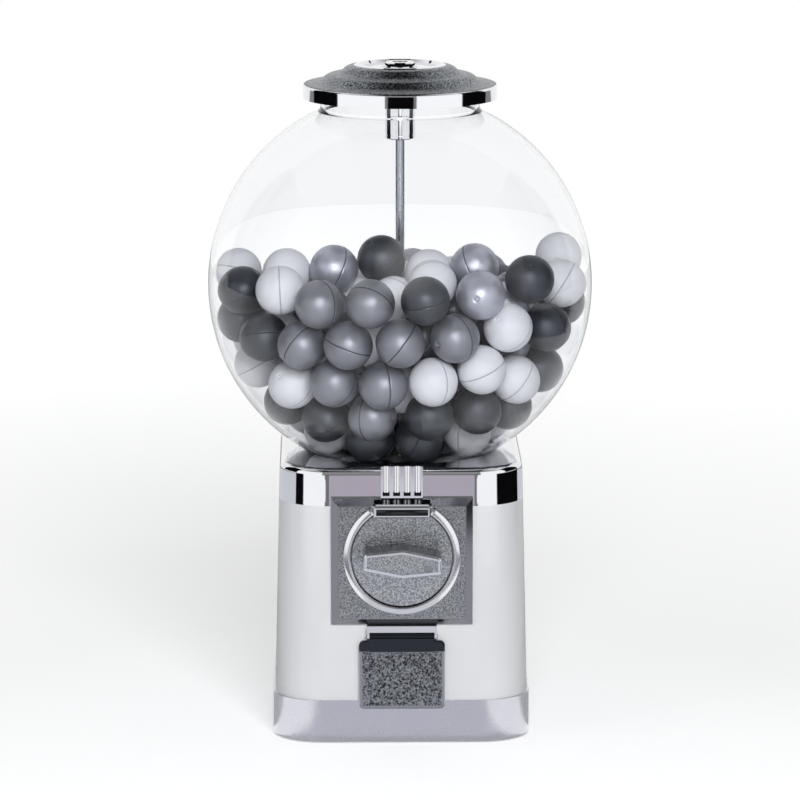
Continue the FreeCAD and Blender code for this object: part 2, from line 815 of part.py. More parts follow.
def make_lock():
    bore = D.lock_plug_radius + D.shaft_gap * 2
    head = D.lock_radius - 0.2
    head_top = lid_dish + D.lock_head_height
    housing = new_body("lock_housing")
    profile = [
        (bore, lock_nut_bottom + 1.5),
        (D.lock_shank_radius, lock_nut_bottom + 1.5),
        (D.lock_shank_radius, lid_dish),
        (head, lid_dish),
        (head, head_top - 0.8),
        (head - 0.8, head_top),
        (bore, head_top),
    ]
    revolve(housing, draw(housing, "XZ_Plane", None, profile))
    ring_part("lock_nut", D.lock_shank_radius + D.tight_gap, D.lock_radius, lock_nut_bottom, lid_under)
    plug = new_body("lock_plug")
    plug_top = head_top - 0.4
    plug_sketch = draw(plug, "XY_Plane", coupling_top, Round(0, 0, D.lock_plug_radius))
    extrude(plug, plug_sketch, plug_top - coupling_top)
    slot_half = D.lock_plug_radius - 1.8
    slot = box_outline(-slot_half, slot_half, -D.key_slot_width / 2, D.key_slot_width / 2)
    extrude(plug, draw(plug, "XY_Plane", plug_top, slot), D.key_slot_depth, cut=True)
    coupling = new_body("rod_coupling")
    thread = D.rod_radius + D.thread_gap
    thread_top = coupling_bottom + D.rod_entry + 1
    groove = coupling_bottom + 2.2
    profile = [
        (thread, coupling_bottom),
        (D.lock_radius - 0.5, coupling_bottom),
        (D.lock_radius, coupling_bottom + 0.5),
        (D.lock_radius, groove),
        (D.lock_radius - 0.5, groove),
        (D.lock_radius - 0.5, groove + 0.7),
        (D.lock_radius, groove + 0.7),
        (D.lock_radius, coupling_top),
        (0, coupling_top),
        (0, thread_top),
        (thread, thread_top),
    ]
    revolve(coupling, draw(coupling, "XZ_Plane", None, profile))


# Coin mechanism. Its pieces are drawn about the knob's axis, which runs along Y.


def make_mech_faceplate():
    body = new_body("mech_faceplate", knob_height)
    half = D.bezel_width / 2
    back = bezel_front - 12
    outline = box_outline(-half, half, -D.bezel_below, D.bezel_above)
    block = extrude(body, draw(body, "XZ_Plane", back, outline), bezel_front - back)
    front = -bezel_front.value
    dress(body, "Chamfer", block, lambda edge: edge.BoundBox.YMax < front + 0.01, D.bezel_chamfer)
    low_seat = wall_half(knob_height - D.bezel_below)
    high_seat = wall_half(knob_height + D.bezel_above)
    behind = [
        (-low_seat, -D.bezel_below),
        (-high_seat, D.bezel_above),
        (-high_seat, D.bezel_above + 2),
        (-back + 2, D.bezel_above + 2),
        (-back + 2, -D.bezel_below - 2),
        (-low_seat, -D.bezel_below - 2),
    ]
    extrude(body, draw(body, "YZ_Plane", None, behind), D.bezel_width + 4, cut=True, symmetric=True)
    ring_root = D.fit_gap * 2
    ring = draw(body, "XZ_Plane", bezel_front - ring_root, Round(0, 0, D.ring_radius))
    raised = extrude(body, ring, D.ring_rise + ring_root)
    ring_front = -(bezel_front + D.ring_rise).value
    dress(body, "Chamfer", raised, lambda edge: edge.BoundBox.YMax < ring_front + 0.01, D.ring_rise * 0.45)
    recess_depth = bezel_front + D.ring_rise - recess_floor
    recess = draw(body, "XZ_Plane", bezel_front + D.ring_rise, Round(0, 0, ring_inside))
    extrude(body, recess, recess_depth, cut=True)
    notch_half = D.hood_width / 2 + 0.2
    notch = box_outline(-notch_half, notch_half, hood_low - D.fit_gap, D.bezel_above + 3)
    extrude(body, draw(body, "XZ_Plane", bezel_front + D.ring_rise, notch), D.ring_rise + ring_root, cut=True)
    cavity = draw(body, "XZ_Plane", skin_back, Round(0, 0, cavity_radius))
    extrude(body, cavity, D.carrier_width + 6, cut=True)
    slot = box_outline(-D.coin_radius - 0.3, D.coin_radius + 0.3, -carrier_front - 0.1, -carrier_back + 0.1)
    extrude(body, draw(body, "XY_Plane", D.bezel_above, slot), D.bezel_above - D.carrier_radius * 0.7, cut=True)
    bore = draw(body, "XZ_Plane", recess_floor, Round(0, 0, D.shaft_radius + D.shaft_gap))
    extrude(body, bore, D.face_skin, cut=True)
    post_face = wall_half(knob_height - D.post_offset) + 1
    post = Round(D.post_offset, D.post_offset, D.post_radius)
    post_sketch = draw(body, "XZ_Plane", back_plate_front, post)
    post_pad = extrude(body, post_sketch, post_face - back_plate_front)
    hole = Round(D.post_offset, D.post_offset, D.screw_radius + D.shaft_gap)
    hole_sketch = draw(body, "XZ_Plane", back_plate_front, hole)
    post_hole = extrude(body, hole_sketch, screw_reach - back_plate_front + 0.3, cut=True, reverse=True)
    polar(body, [post_pad, post_hole], "Y_Axis", as_size(4))


def make_coin_slot_hood():
    body = new_body("coin_slot_hood", knob_height)
    chamfer_foot = D.bezel_above - D.bezel_chamfer
    slot_edge = carrier_front + 0.4
    land = chamfer_foot + bezel_front - slot_edge
    front_top = hood_low + D.hood_height
    profile = [
        (-bezel_front + D.fit_gap, chamfer_foot + D.fit_gap),
        (-slot_edge, land),
        (-slot_edge, land + 0.9),
        (-hood_front, front_top),
        (-hood_front, hood_low),
        (-hood_back, hood_low),
        (-hood_back, chamfer_foot + D.fit_gap),
    ]
    ridge = extrude(body, draw(body, "YZ_Plane", None, profile), D.hood_width, symmetric=True)
    front = -hood_front.value
    dress(body, "Chamfer", ridge, lambda edge: edge.BoundBox.YMax < front + 0.01, D.hood_lip * 0.4)
    window_half = D.hood_width / 2 - D.hood_lip
    window = box_outline(-window_half, window_half, hood_low + D.hood_lip, front_top - D.hood_lip)
    extrude(body, draw(body, "XZ_Plane", hood_front, window), D.hood_window, cut=True)
    ear = Round(-hood_front + D.ear_radius * 1.2, front_top, D.ear_radius)
    ear_width = D.hood_width + D.ear_radius * 2
    extrude(body, draw(body, "YZ_Plane", None, ear), ear_width, symmetric=True)
    gap = box_outline(-window_half, window_half, front_top - 0.2, front_top + D.ear_radius * 2)
    extrude(body, draw(body, "XZ_Plane", hood_front + 1, gap), D.ear_radius * 2.2 + 1, cut=True)


def make_coin_guide():
    body = new_body("coin_guide", knob_height)
    half = D.guide_width / 2
    back = wall_half(knob_height + D.bezel_above) + D.fit_gap
    front = back + D.guide_depth
    blade = box_outline(-half, half, -front, -back)
    extrude(body, draw(body, "XY_Plane", D.bezel_above, blade), D.guide_height)
    flutes = [Round(D.flute_pitch * (index - 1.5), -front - 0.7, D.flute_radius) for index in range(4)]
    flute_foot = D.bezel_above + 1.6
    extrude(body, draw(body, "XY_Plane", flute_foot, *flutes), D.guide_height, cut=True, reverse=True)


def lozenge(grow):
    """The handle's six-sided outline, with its points above and below the middle."""
    length = D.handle_length / 2 + grow
    height = D.handle_height / 2 + grow
    end = D.handle_end / 2 + grow * 0.8
    return [(length, -end), (length, end), (0, height), (-length, end), (-length, -end), (0, -height)]


def make_turn_knob():
    body = new_body("turn_knob", knob_height, tilt=D.handle_tilt.value)
    disc_back = disc_front - D.disc_depth
    disc = extrude(body, draw(body, "XZ_Plane", disc_back, Round(0, 0, disc_radius)), D.disc_depth)
    disc_face = -disc_front.value
    dress(body, "Chamfer", disc, lambda edge: edge.BoundBox.YMax < disc_face + 0.01, D.disc_depth * 0.25)
    foot = draw(body, "XZ_Plane", disc_front - 0.5, lozenge(D.handle_draft))
    face = draw(body, "XZ_Plane", handle_front, lozenge(as_size(0)))
    grip = loft(body, foot, face)
    front = -handle_front.value
    length = (handle_front - disc_front).value * 0.9

    def end_corner(edge):
        return edge.BoundBox.YLength > length and abs(edge.BoundBox.XMax) > 3

    ends = dress(body, "Fillet", grip, end_corner, D.handle_rim)
    dress(body, "Fillet", ends, lambda edge: edge.BoundBox.YMax < front + 0.01, D.handle_edge)
    inset = draw(body, "XZ_Plane", handle_front, lozenge(-D.handle_rim))
    extrude(body, inset, D.handle_inset, cut=True)
    bore = draw(body, "XZ_Plane", disc_back, Round(0, 0, D.shaft_radius + D.tight_gap))
    extrude(body, bore, shaft_front - disc_back + D.fit_gap, cut=True, reverse=True)


def make_knob_train():
    shaft = new_body("knob_shaft", knob_height)
    extrude(shaft, draw(shaft, "XZ_Plane", shaft_back, Round(0, 0, D.shaft_radius)), shaft_front - shaft_back)
    bore = Round(0, 0, D.shaft_radius + D.tight_gap)
    carrier = new_body("coin_carrier", knob_height)
    extrude(
        carrier, draw(carrier, "XZ_Plane", carrier_back, Round(0, 0, D.carrier_radius), bore), D.carrier_width
    )
    nest = D.carrier_radius - D.coin_radius * 0.85
    coin_bed = draw(carrier, "XZ_Plane", carrier_front, Round(0, nest, D.coin_radius))
    extrude(carrier, coin_bed, D.carrier_width, cut=True)
    entry = box_outline(-D.coin_radius, D.coin_radius, nest, D.carrier_radius + 2)
    extrude(carrier, draw(carrier, "XZ_Plane", carrier_front, entry), D.carrier_width, cut=True)
    ratchet = new_body("ratchet_wheel", knob_height)
    body_radius = D.ratchet_radius - D.ratchet_tooth
    extrude(ratchet, draw(ratchet, "XZ_Plane", ratchet_back, Round(0, 0, body_radius), bore), D.ratchet_width)
    foot = body_radius - 0.6
    heel = turned(foot, 330 / D.ratchet_count)
    tooth_outline = [(0, foot), heel, (0, D.ratchet_radius)]
    tooth = extrude(ratchet, draw(ratchet, "XZ_Plane", ratchet_back, tooth_outline), D.ratchet_width)
    polar(ratchet, [tooth], "Y_Axis", D.ratchet_count)
    make_pinion(bore)


def make_pinion(bore):
    half_tooth = 180 / D.pinion_teeth.value
    pinion = new_body("drive_pinion", knob_height, tilt=half_tooth)
    root_radius = pinion_pitch - tooth_dedendum
    tip_radius = pinion_pitch + tooth_addendum
    extrude(pinion, draw(pinion, "XZ_Plane", gear_back, Round(0, 0, root_radius), bore), D.gear_width)
    foot_half = tooth_width * 0.7
    pitch_half = tooth_width / 2
    tip_half = tooth_width * 0.24
    outline = [
        (-foot_half, root_radius - 1),
        (foot_half, root_radius - 1),
        (foot_half, root_radius + 0.2),
        (pitch_half, pinion_pitch, Bend(tooth_width * 2)),
        (tip_half, tip_radius),
        (-tip_half, tip_radius, Bend(tooth_width * 2)),
        (-pitch_half, pinion_pitch),
        (-foot_half, root_radius + 0.2),
    ]
    tooth = extrude(pinion, draw(pinion, "XZ_Plane", gear_back, outline), D.gear_width)
    polar(pinion, [tooth], "Y_Axis", D.pinion_teeth)
    hub = D.shaft_radius + D.hub_wall
    extrude(pinion, draw(pinion, "XZ_Plane", gear_front, Round(0, 0, hub), bore), D.hub_length)
    screw_place = -gear_front - D.hub_length / 2
    hole = draw(pinion, "XY_Plane", D.shaft_radius - 0.5, Round(0, screw_place, D.screw_radius + D.tight_gap))
    extrude(pinion, hole, D.hub_length, cut=True, reverse=True)
    grub = new_body("pinion_set_screw", knob_height, tilt=half_tooth)
    grub_length = hub - D.shaft_radius - 0.3
    grub_sketch = draw(grub, "XY_Plane", D.shaft_radius + D.tight_gap, Round(0, screw_place, D.screw_radius))
    extrude(grub, grub_sketch, grub_length)


def make_ratchet_pawl():
    body = new_body("ratchet_pawl", knob_height)
    tip = D.ratchet_radius + D.fit_gap * 2
    boss = D.pin_radius + 1.7
    sketch = draw(body, "XZ_Plane", ratchet_back, Round(D.pawl_x, -D.pawl_z, boss))
    extrude(body, sketch, D.ratchet_width)
    arm = [
        (D.pawl_x - boss * 0.7, -D.pawl_z),
        (D.pawl_x + boss * 0.7, -D.pawl_z),
        (D.pawl_x + 0.6, D.pawl_z * 0.4),
        (tip + 1.2, D.pawl_z * 0.6),
        (tip - 0.6, D.pawl_z * 0.45),
    ]
    extrude(body, draw(body, "XZ_Plane", ratchet_back, arm), D.ratchet_width)
    hole = draw(body, "XZ_Plane", ratchet_front, Round(D.pawl_x, -D.pawl_z, D.pin_radius + D.shaft_gap))
    extrude(body, hole, D.ratchet_width, cut=True)
    pin = new_body("pawl_pin", knob_height)
    pin_back = back_plate_front - D.back_plate
    pin_sketch = draw(pin, "XZ_Plane", pin_back, Round(D.pawl_x, -D.pawl_z, D.pin_radius))
    extrude(pin, pin_sketch, ratchet_front - pin_back)
    make_pawl_spring()


def make_pawl_spring():
    """An open turn of flat wire round the pawl's pin, between the pawl and the back plate."""
    wire = D.spring_wire.value
    inner = D.pin_radius.value + D.fit_gap.value
    open_turn = 320.0
    axis = FreeCAD.Vector(0, 0, 1)
    turn = Part.makeCylinder(inner + wire, wire, FreeCAD.Vector(), axis, open_turn)
    bore = Part.makeCylinder(inner, wire, FreeCAD.Vector(), axis, 360)
    front = (ratchet_back + back_plate_front).value / 2
    spring = doc.addObject("Part::Feature", "pawl_spring")
    spring.Label = "pawl_spring"
    spring.Shape = turn.cut(bore)
    place = FreeCAD.Vector(D.pawl_x.value, -front, knob_height.value - D.pawl_z.value)
    spring.Placement = FreeCAD.Placement(place, FreeCAD.Rotation(FreeCAD.Vector(1, 0, 0), 90))


def make_back_plate():
    body = new_body("mech_back_plate", knob_height)
    back = back_plate_front - D.back_plate
    outline = rounded_outline(
        D.back_plate_width / 2, -D.back_plate_height / 2, D.back_plate_height / 2, D.post_radius
    )
    bore = Round(0, 0, D.shaft_radius + D.shaft_gap)
    pin_hole = Round(D.pawl_x, -D.pawl_z, D.pin_radius + D.tight_gap)
    extrude(body, draw(body, "XZ_Plane", back, outline, bore, pin_hole), D.back_plate)
    hole = Round(D.post_offset, D.post_offset, D.screw_radius + D.fit_gap)
    drilled = extrude(body, draw(body, "XZ_Plane", back_plate_front, hole), D.back_plate, cut=True)
    polar(body, [drilled], "Y_Axis", as_size(4))
    screws = new_body("mech_screws", knob_height)
    head = Round(D.post_offset, D.post_offset, D.screw_head_radius)
    head_pad = extrude(screws, draw(screws, "XZ_Plane", back - D.screw_head, head), D.screw_head)
    shank = Round(D.post_offset, D.post_offset, D.screw_radius)
    shank_pad = extrude(screws, draw(screws, "XZ_Plane", back, shank), screw_reach - back)
    polar(screws, [head_pad, shank_pad], "Y_Axis", as_size(4))


# Ball deflector, chute and flap door.


def make_ball_deflector():
    body = new_body("ball_deflector")
    low = deflector_top - D.deflector_sheet
    thick = D.deflector_sheet
    rim = cup_inside - D.fit_gap
    roof = draw(body, "XY_Plane", low, Round(0, 0, rim), Round(0, 0, D.hub_radius + 4))
    extrude(body, roof, thick)
    wall = draw(body, "XY_Plane", low, Round(0, 0, rim), Round(0, 0, rim - thick))
    extrude(body, wall, plate_under - low)
    side = cup_inside + 5
    spread = Size(0.8, "0.8")
    rear = [(-side, -D.hub_radius), (side, -D.hub_radius), (side, side), (-side, side)]
    extrude(body, draw(body, "XY_Plane", low, rear), plate_under - low, cut=True, reverse=True)
    throat = D.hub_radius + 4
    behind = -D.hub_radius + 1
    left = [(-side, -side), (-side * spread, -side), (-throat, behind), (-side, behind)]
    right = [(side, -side), (side * spread, -side), (throat, behind), (side, behind)]
    extrude(body, draw(body, "XY_Plane", low, left), plate_under - low, cut=True, reverse=True)
    extrude(body, draw(body, "XY_Plane", low, right), plate_under - low, cut=True, reverse=True)


def chute_outline(inset, overrun):
    """The chute's side outline, drawn inwards by a wall for the hollow, which runs out at both ends."""
    top = cup_under + overrun
    end = wall_half(chute_roof) - D.fit_gap + overrun
    knee = cup_under - D.chute_back_drop
    brow = cup_under - D.chute_front_drop
    toe = chute_front + D.chute_toe
    return [
        (-chute_rear - inset, top),
        (-chute_front + inset, top),
        (-chute_front + inset, brow + inset * 0.4),
        (-end + 2.5, chute_roof - inset),
        (-end, chute_roof - inset),
        (-end, chute_floor + inset),
        (-toe, chute_floor + inset),
        (-chute_rear - inset, knee + inset * 0.7),
    ]


def make_chute():
    body = new_body("chute")
    none = as_size(0)
    outer = draw(body, "YZ_Plane", None, chute_outline(none, none))
    extrude(body, outer, chute_half * 2, symmetric=True)
    hollow = draw(body, "YZ_Plane", None, chute_outline(D.chute_wall, as_size(1)))
    extrude(body, hollow, D.chute_width, cut=True, symmetric=True)


def make_door_bracket():
    body = new_body("door_bracket")
    bar_low = hinge_height + D.hinge_radius + 0.4
    bar_high = bar_low + D.bracket_height
    ear = D.hinge_radius + 0.1
    bar = [
        (-wall_half(bar_low), bar_low),
        (-wall_half(bar_high), bar_high),
        (-bracket_reach, bar_high),
        (-bracket_reach, bar_low),
    ]
    extrude(body, draw(body, "YZ_Plane", None, bar), D.bracket_width, symmetric=True)
    cheek = [
        (-hinge_depth - ear, bar_low + 0.5),
        (-hinge_depth - ear, hinge_height, Bend(ear + 0.01)),
        (-hinge_depth + ear, hinge_height),
        (-hinge_depth + ear, bar_low + 0.5),
    ]
    extrude(body, draw(body, "YZ_Plane", None, cheek), D.bracket_width, symmetric=True)
    clear = box_outline(-base_half - 10, -body_half + 10, hinge_height - ear - 1, bar_low)
    extrude(
        body, draw(body, "YZ_Plane", None, clear), D.bracket_width - D.bracket_ear * 2, cut=True, symmetric=True
    )
    hole = Round(-hinge_depth, hinge_height, D.hinge_pin_radius + D.tight_gap)
    extrude(body, draw(body, "YZ_Plane", None, hole), D.bracket_width, cut=True, symmetric=True)
    pin = new_body("door_pin")
    pin_round = Round(-hinge_depth, hinge_height, D.hinge_pin_radius)
    extrude(pin, draw(pin, "YZ_Plane", None, pin_round), D.bracket_width + 0.8, symmetric=True)


def make_chute_door():
    body = new_body("chute_door")
    door_top = hinge_height - D.door_drop
    outline = rounded_outline(D.door_width / 2, door_top - door_height, door_top, D.door_corner)
    plate = extrude(body, draw(body, "XZ_Plane", door_back, outline), D.door_thickness)
    front = -door_front.value
    dress(body, "Chamfer", plate, lambda edge: edge.BoundBox.YMax < front + 0.01, D.door_thickness * 0.25)
    knuckle_width = D.bracket_width - D.bracket_ear * 2 - D.fit_gap * 2
    tab = [
        (-door_front - D.door_tab_rise, door_top - D.door_tab_height),
        (-door_front - D.door_tab_rise, hinge_height - 1.2),
        (-hinge_depth, hinge_height),
        (-door_back, hinge_height - 1.2),
        (-door_back, door_top - D.door_tab_height),
    ]
    extrude(body, draw(body, "YZ_Plane", None, tab), knuckle_width, symmetric=True)
    knuckle = Round(-hinge_depth, hinge_height, D.hinge_radius)
    extrude(body, draw(body, "YZ_Plane", None, knuckle), knuckle_width, symmetric=True)
    bore = Round(-hinge_depth, hinge_height, D.hinge_pin_radius + D.shaft_gap)
    extrude(body, draw(body, "YZ_Plane", None, bore), D.door_width, cut=True, symmetric=True)


# Balls. Those seen against the glass are listed: degrees round from the front towards +X, degrees above the
# middle of the globe, how far out as a share of the room to the glass, and tone.

FRONT_BALLS = [
    (-35, 19, 0.62, "silver"),
    (-3, 26, 0.50, "black"),
    (-56, 11, 0.80, "white"),
    (30, 12, 0.40, "white"),
    (44, 17, 0.72, "silver"),
    (16, 8, 0.74, "white"),
    (50, 6, 0.98, "black"),
    (76, 1, 1.00, "white"),
    (98, 7, 1.00, "white"),
    (-71, 1, 1.00, "black"),
    (-48, 4, 0.97, "white"),
    (-97, 3, 1.00, "white"),
    (-29, 0, 1.00, "grey"),
    (-11, 1, 1.00, "grey"),
    (8, 3, 1.00, "black"),
    (28, 3, 1.00, "silver"),
    (-88, -13, 1.00, "black"),
    (-58, -15, 1.00, "black"),
    (40, -8, 1.00, "white"),
    (62, -13, 1.00, "black"),
    (88, -11, 1.00, "black"),
    (-37, -15, 1.00, "grey"),
    (-19, -14, 1.00, "grey"),
    (0, -12, 1.00, "grey"),
    (18, -11, 1.00, "grey"),
    (-50, -31, 1.00, "white"),
    (-84, -31, 1.00, "white"),
    (-28, -31, 1.00, "grey"),
    (-8, -28, 1.00, "grey"),
    (12, -28, 1.00, "white"),
    (31, -24, 1.00, "white"),
    (53, -30, 1.00, "white"),
    (80, -29, 1.00, "black"),
    (-106, -22, 1.00, "white"),
    (107, -20, 1.00, "white"),
    (-68, -47, 1.00, "black"),
    (-40, -47, 1.00, "black"),
    (-13, -45, 1.00, "grey"),
    (11, -45, 1.00, "black"),
    (37, -43, 1.00, "black"),
    (70, -46, 1.00, "black"),
    (58, -63, 1.00, "white"),
    (-62, -63, 1.00, "white"),
    (-24, -66, 1.00, "black"),
    (22, -66, 1.00, "black"),
]

# Tones of the balls behind them, in turn.
REST_TONES = ("black", "white", "grey", "grey", "white", "black", "grey", "white", "black", "silver")


def front_places(room):
    places = []
    for around, above, share, tone in FRONT_BALLS:
        level = room * share * math.cos(math.radians(above))
        across = level * math.sin(math.radians(around))
        along = -level * math.cos(math.radians(around))
        places.append([across, along, room * share * math.sin(math.radians(above)), tone])
    return places


def fill_places(room, pitch, taken):
    """Rows of balls, each row shifted by half a ball, below a level surface."""
    places = []
    layers = int(2 * room / pitch) + 1
    for layer in range(layers):
        height = -room + layer * pitch * 0.82
        for line in range(-layers, layers):
            along = (line + 0.5 * (layer % 2)) * pitch * 0.87
            for step in range(-layers, layers):
                across = (step + 0.5 * (line % 2)) * pitch
                reach = math.sqrt(across ** 2 + along ** 2 + height ** 2)
                if reach > room or height > FILL_LEVEL * room:
                    continue
                place = (across, along, height)
                if min(math.dist(place, ball[:3]) for ball in taken) > pitch * CROWDING:
                    places.append([across, along, height, REST_TONES[len(places) % len(REST_TONES)]])
    return places


FILL_LEVEL = 0.20
CROWDING = 0.78
SETTLE_STEPS = 260
CLEARING_STEPS = 600
GLASS_SHARE = 0.95
GLASS_YIELD = 0.06


def near_pairs(places, limit):
    pairs = []
    for first, ball in enumerate(places):
        for second in range(first):
            other = places[second]
            if abs(ball[2] - other[2]) < limit and math.dist(ball[:3], other[:3]) < limit:
                pairs.append((second, first))
    return pairs


def push_apart(places, yields, pairs, spacing, room, floor, rod_reach, foot_reach, foot_top):
    """Moves balls out of each other, out of the glass, the floor and the rod. Gives the deepest overlap."""
    deepest = 0.0
    for first, second in pairs:
        one = places[first]
        two = places[second]
        gap = [two[axis] - one[axis] for axis in range(3)]
        apart = math.sqrt(gap[0] ** 2 + gap[1] ** 2 + gap[2] ** 2)
        overlap = spacing - apart
        if overlap > 0:
            deepest = max(deepest, overlap)
            shift = overlap / apart / (yields[first] + yields[second])
            for axis in range(3):
                one[axis] -= gap[axis] * shift * yields[first]
                two[axis] += gap[axis] * shift * yields[second]
    for ball in places:
        reach = foot_reach if ball[2] < foot_top else rod_reach
        around = math.hypot(ball[0], ball[1])
        if around < reach:
            deepest = max(deepest, reach - around)
            grow = reach / max(around, 0.01)
            ball[0] *= grow
            ball[1] *= grow
        ball[2] = max(ball[2], floor)
        out = math.sqrt(ball[0] ** 2 + ball[1] ** 2 + ball[2] ** 2)
        if out > room:
            for axis in range(3):
                ball[axis] *= room / out
    return deepest


def settle_balls():
    """Lets the balls sink together in the globe, then clears what still overlaps."""
    radius = D.ball_radius.value
    gap = D.fit_gap.value
    room = globe_inside.value - radius - gap
    spacing = 2 * radius + gap
    floor = (deflector_top + gap).value + radius - globe_centre.value
    foot_top = (bush_top + D.washer_height + D.nut_height).value + radius - globe_centre.value
    rod_reach = D.rod_radius.value + radius + gap
    foot_reach = D.washer_radius.value + radius + gap
    limits = (spacing, room, floor, rod_reach, foot_reach, foot_top)
    places = front_places(room)
    places += fill_places(room, spacing, places)
    yields = [GLASS_YIELD if share > GLASS_SHARE else 1.0 for _, _, share, _ in FRONT_BALLS]
    yields += [1.0] * (len(places) - len(yields))
    pairs = []
    for step in range(SETTLE_STEPS):
        if step % 10 == 0:
            pairs = near_pairs(places, spacing * 1.35)
        sink = 0.5 * (1 - step / SETTLE_STEPS)
        for ball, freedom in zip(places, yields):
            if freedom == 1.0:
                ball[2] -= sink
        push_apart(places, yields, pairs, *limits)
        push_apart(places, yields, pairs, *limits)
    for step in range(CLEARING_STEPS):
        if step % 10 == 0:
            pairs = near_pairs(places, spacing * 1.35)
        if push_apart(places, yields, pairs, *limits) < gap * 0.1:
            break
    pairs = near_pairs(places, spacing * 1.35)
    least = min(math.dist(places[first][:3], places[second][:3]) for first, second in pairs)
    print(f"balls: {len(places)}, least gap {least - 2 * radius:.2f} mm")
    return places


def make_balls():
    tones = {}
    for across, along, height, tone in settle_balls():
        centre = FreeCAD.Vector(across, along, height + globe_centre.value)
        tones.setdefault(tone, []).append(Part.makeSphere(D.ball_radius.value, centre))
    for tone, spheres in tones.items():
        node = doc.addObject("Part::Feature", "balls_" + tone)
        node.Label = "balls_" + tone
        node.Shape = Part.makeCompound(spheres)
    loaded = []
    count = int(D.pocket_count.value)
    level = (floor_top + D.fit_gap + D.ball_radius).value
    for index in range(count):
        angle = math.radians(-90 + 180 / count + 360 / count * index)
        across = pocket_ring.value * math.cos(angle)
        along = pocket_ring.value * math.sin(angle)
        loaded.append(Part.makeSphere(D.ball_radius.value, FreeCAD.Vector(across, along, level)))
    node = doc.addObject("Part::Feature", "balls_in_wheel")
    node.Label = "balls_in_wheel"
    node.Shape = Part.makeCompound(loaded)


make_base_tray()
make_rubber_feet()
make_body_shell()
make_top_collar()
make_hopper_cup()
make_hopper_screws()
make_dispensing_wheel()
make_rod_stack()
make_globe()
make_lid()
make_lock()
make_mech_faceplate()
make_coin_slot_hood()
make_coin_guide()
make_turn_knob()
make_knob_train()
make_ratchet_pawl()
make_back_plate()
make_ball_deflector()
make_chute()
make_door_bracket()
make_chute_door()
make_balls()

doc.recompute()

parts = [item for item in doc.Objects if item.TypeId in ("PartDesign::Body", "Part::Feature")]
faults = [item.Name for item in doc.Objects if {"Invalid", "Error"} & set(item.State)]
if faults:
    raise RuntimeError("these objects failed: " + ", ".join(faults))
for item in parts:
    if item.Shape.isNull() or not item.Shape.isValid():
        raise RuntimeError(item.Label + " has no valid shape")
os.makedirs("parts", exist_ok=True)
for item in parts:
    item.Shape.exportStep(f"parts/{item.Label}.step")
    print(f"{item.Label}: {len(item.Shape.Solids)} solids, {item.Shape.Volume / 1000:.2f} cm3")
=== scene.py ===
"""Gumball machine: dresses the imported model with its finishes, balls, small fittings, stage and camera."""

import math
import random

import bmesh
import bpy
from mathutils import Euler, Matrix, Vector


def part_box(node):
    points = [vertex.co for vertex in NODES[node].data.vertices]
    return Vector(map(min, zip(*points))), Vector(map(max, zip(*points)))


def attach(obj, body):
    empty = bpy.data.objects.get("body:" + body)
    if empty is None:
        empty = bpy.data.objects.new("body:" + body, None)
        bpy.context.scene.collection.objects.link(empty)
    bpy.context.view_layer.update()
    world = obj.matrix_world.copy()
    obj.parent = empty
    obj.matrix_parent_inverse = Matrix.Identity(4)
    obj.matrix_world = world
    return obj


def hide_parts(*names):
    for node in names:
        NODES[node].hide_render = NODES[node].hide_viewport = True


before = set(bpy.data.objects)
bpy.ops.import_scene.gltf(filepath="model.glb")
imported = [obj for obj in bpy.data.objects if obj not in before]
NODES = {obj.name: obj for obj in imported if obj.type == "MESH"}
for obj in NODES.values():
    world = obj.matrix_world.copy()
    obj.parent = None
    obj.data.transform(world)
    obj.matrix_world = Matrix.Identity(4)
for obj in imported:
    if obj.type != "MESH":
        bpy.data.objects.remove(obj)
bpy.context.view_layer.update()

bl_info = {
    "name": "Gumball machine",
    "version": (1, 0, 0),
    "blender": (4, 5, 0),
    "location": "View3D > Sidebar > Gumball",
    "description": "Finishes, balls, fittings, stage and camera of a table-top gumball machine",
    "category": "Object",
}

# Points nearer than this, in metres, are one point
MERGE = 0.00001

# Sets which way each ball is turned
BALL_SEED = 7

# The knob's axis above the floor, and the spacing of the coin guide's flutes, in metres
KNOB_AXIS_HEIGHT = 0.127
FLUTE_PITCH = 0.0069

# Where the castings and the coin guide change finish, and where shade is painted on them, as pairs of limits
# in metres
LID_GRAIN_HEIGHTS = (0.4262, 0.4425)
LID_GRAIN_RADII = (0.0305, 0.0638)
FACE_GRAIN_ACROSS = (-0.0415, 0.0415)
FACE_GRAIN_HEIGHTS = (0.0855, 0.1602)
FACE_GRAIN_RADII = (0.0386, 0.2)
KNOB_DISC_DEPTHS = (-0.0906, -0.0902)
HANDLE_FACE_DEPTHS = (-0.1144, -0.1140)
HANDLE_SIDE_PAINTED_SHADE_DEPTHS = (-0.1130, -0.0908)
DOOR_GRAIN_ACROSS = (-0.0262, 0.0262)
DOOR_GRAIN_HEIGHTS = (0.0262, 0.0625)
DOOR_GRAIN_DEPTHS = (-0.0885, -0.0876)
DOOR_TAB_PAINTED_SHADE_HEIGHTS = (0.0628, 0.08)
FLUTE_FOOT_SHADE_ACROSS = (0.0013, 0.0056)
FLUTE_FOOT_SHADE_HEIGHTS = (0.1664, 0.1684)

# Half the width of the soft edge between two finishes, in metres
SOFT_EDGE = 0.0001

# The ring's section: shares of its width out from its inner edge, and of its crown in from the face
RING_SECTION = (
    (0.0, 0.5),
    (0.0, -0.75),
    (0.06, -1.0),
    (0.5, -0.45),
    (0.9, 0.25),
    (0.98, 0.6),
    (1.0426, 2.4),
    (0.5, 2.4),
)

# The dimple's section: shares of its radius, and the rise above the handle's sunk face in metres
DIMPLE_SECTION = ((0.0, 0.00005), (0.55, 0.00008), (0.8, 0.00025), (0.92, 0.0003), (1.0, 0.0))


# Colours and nodes


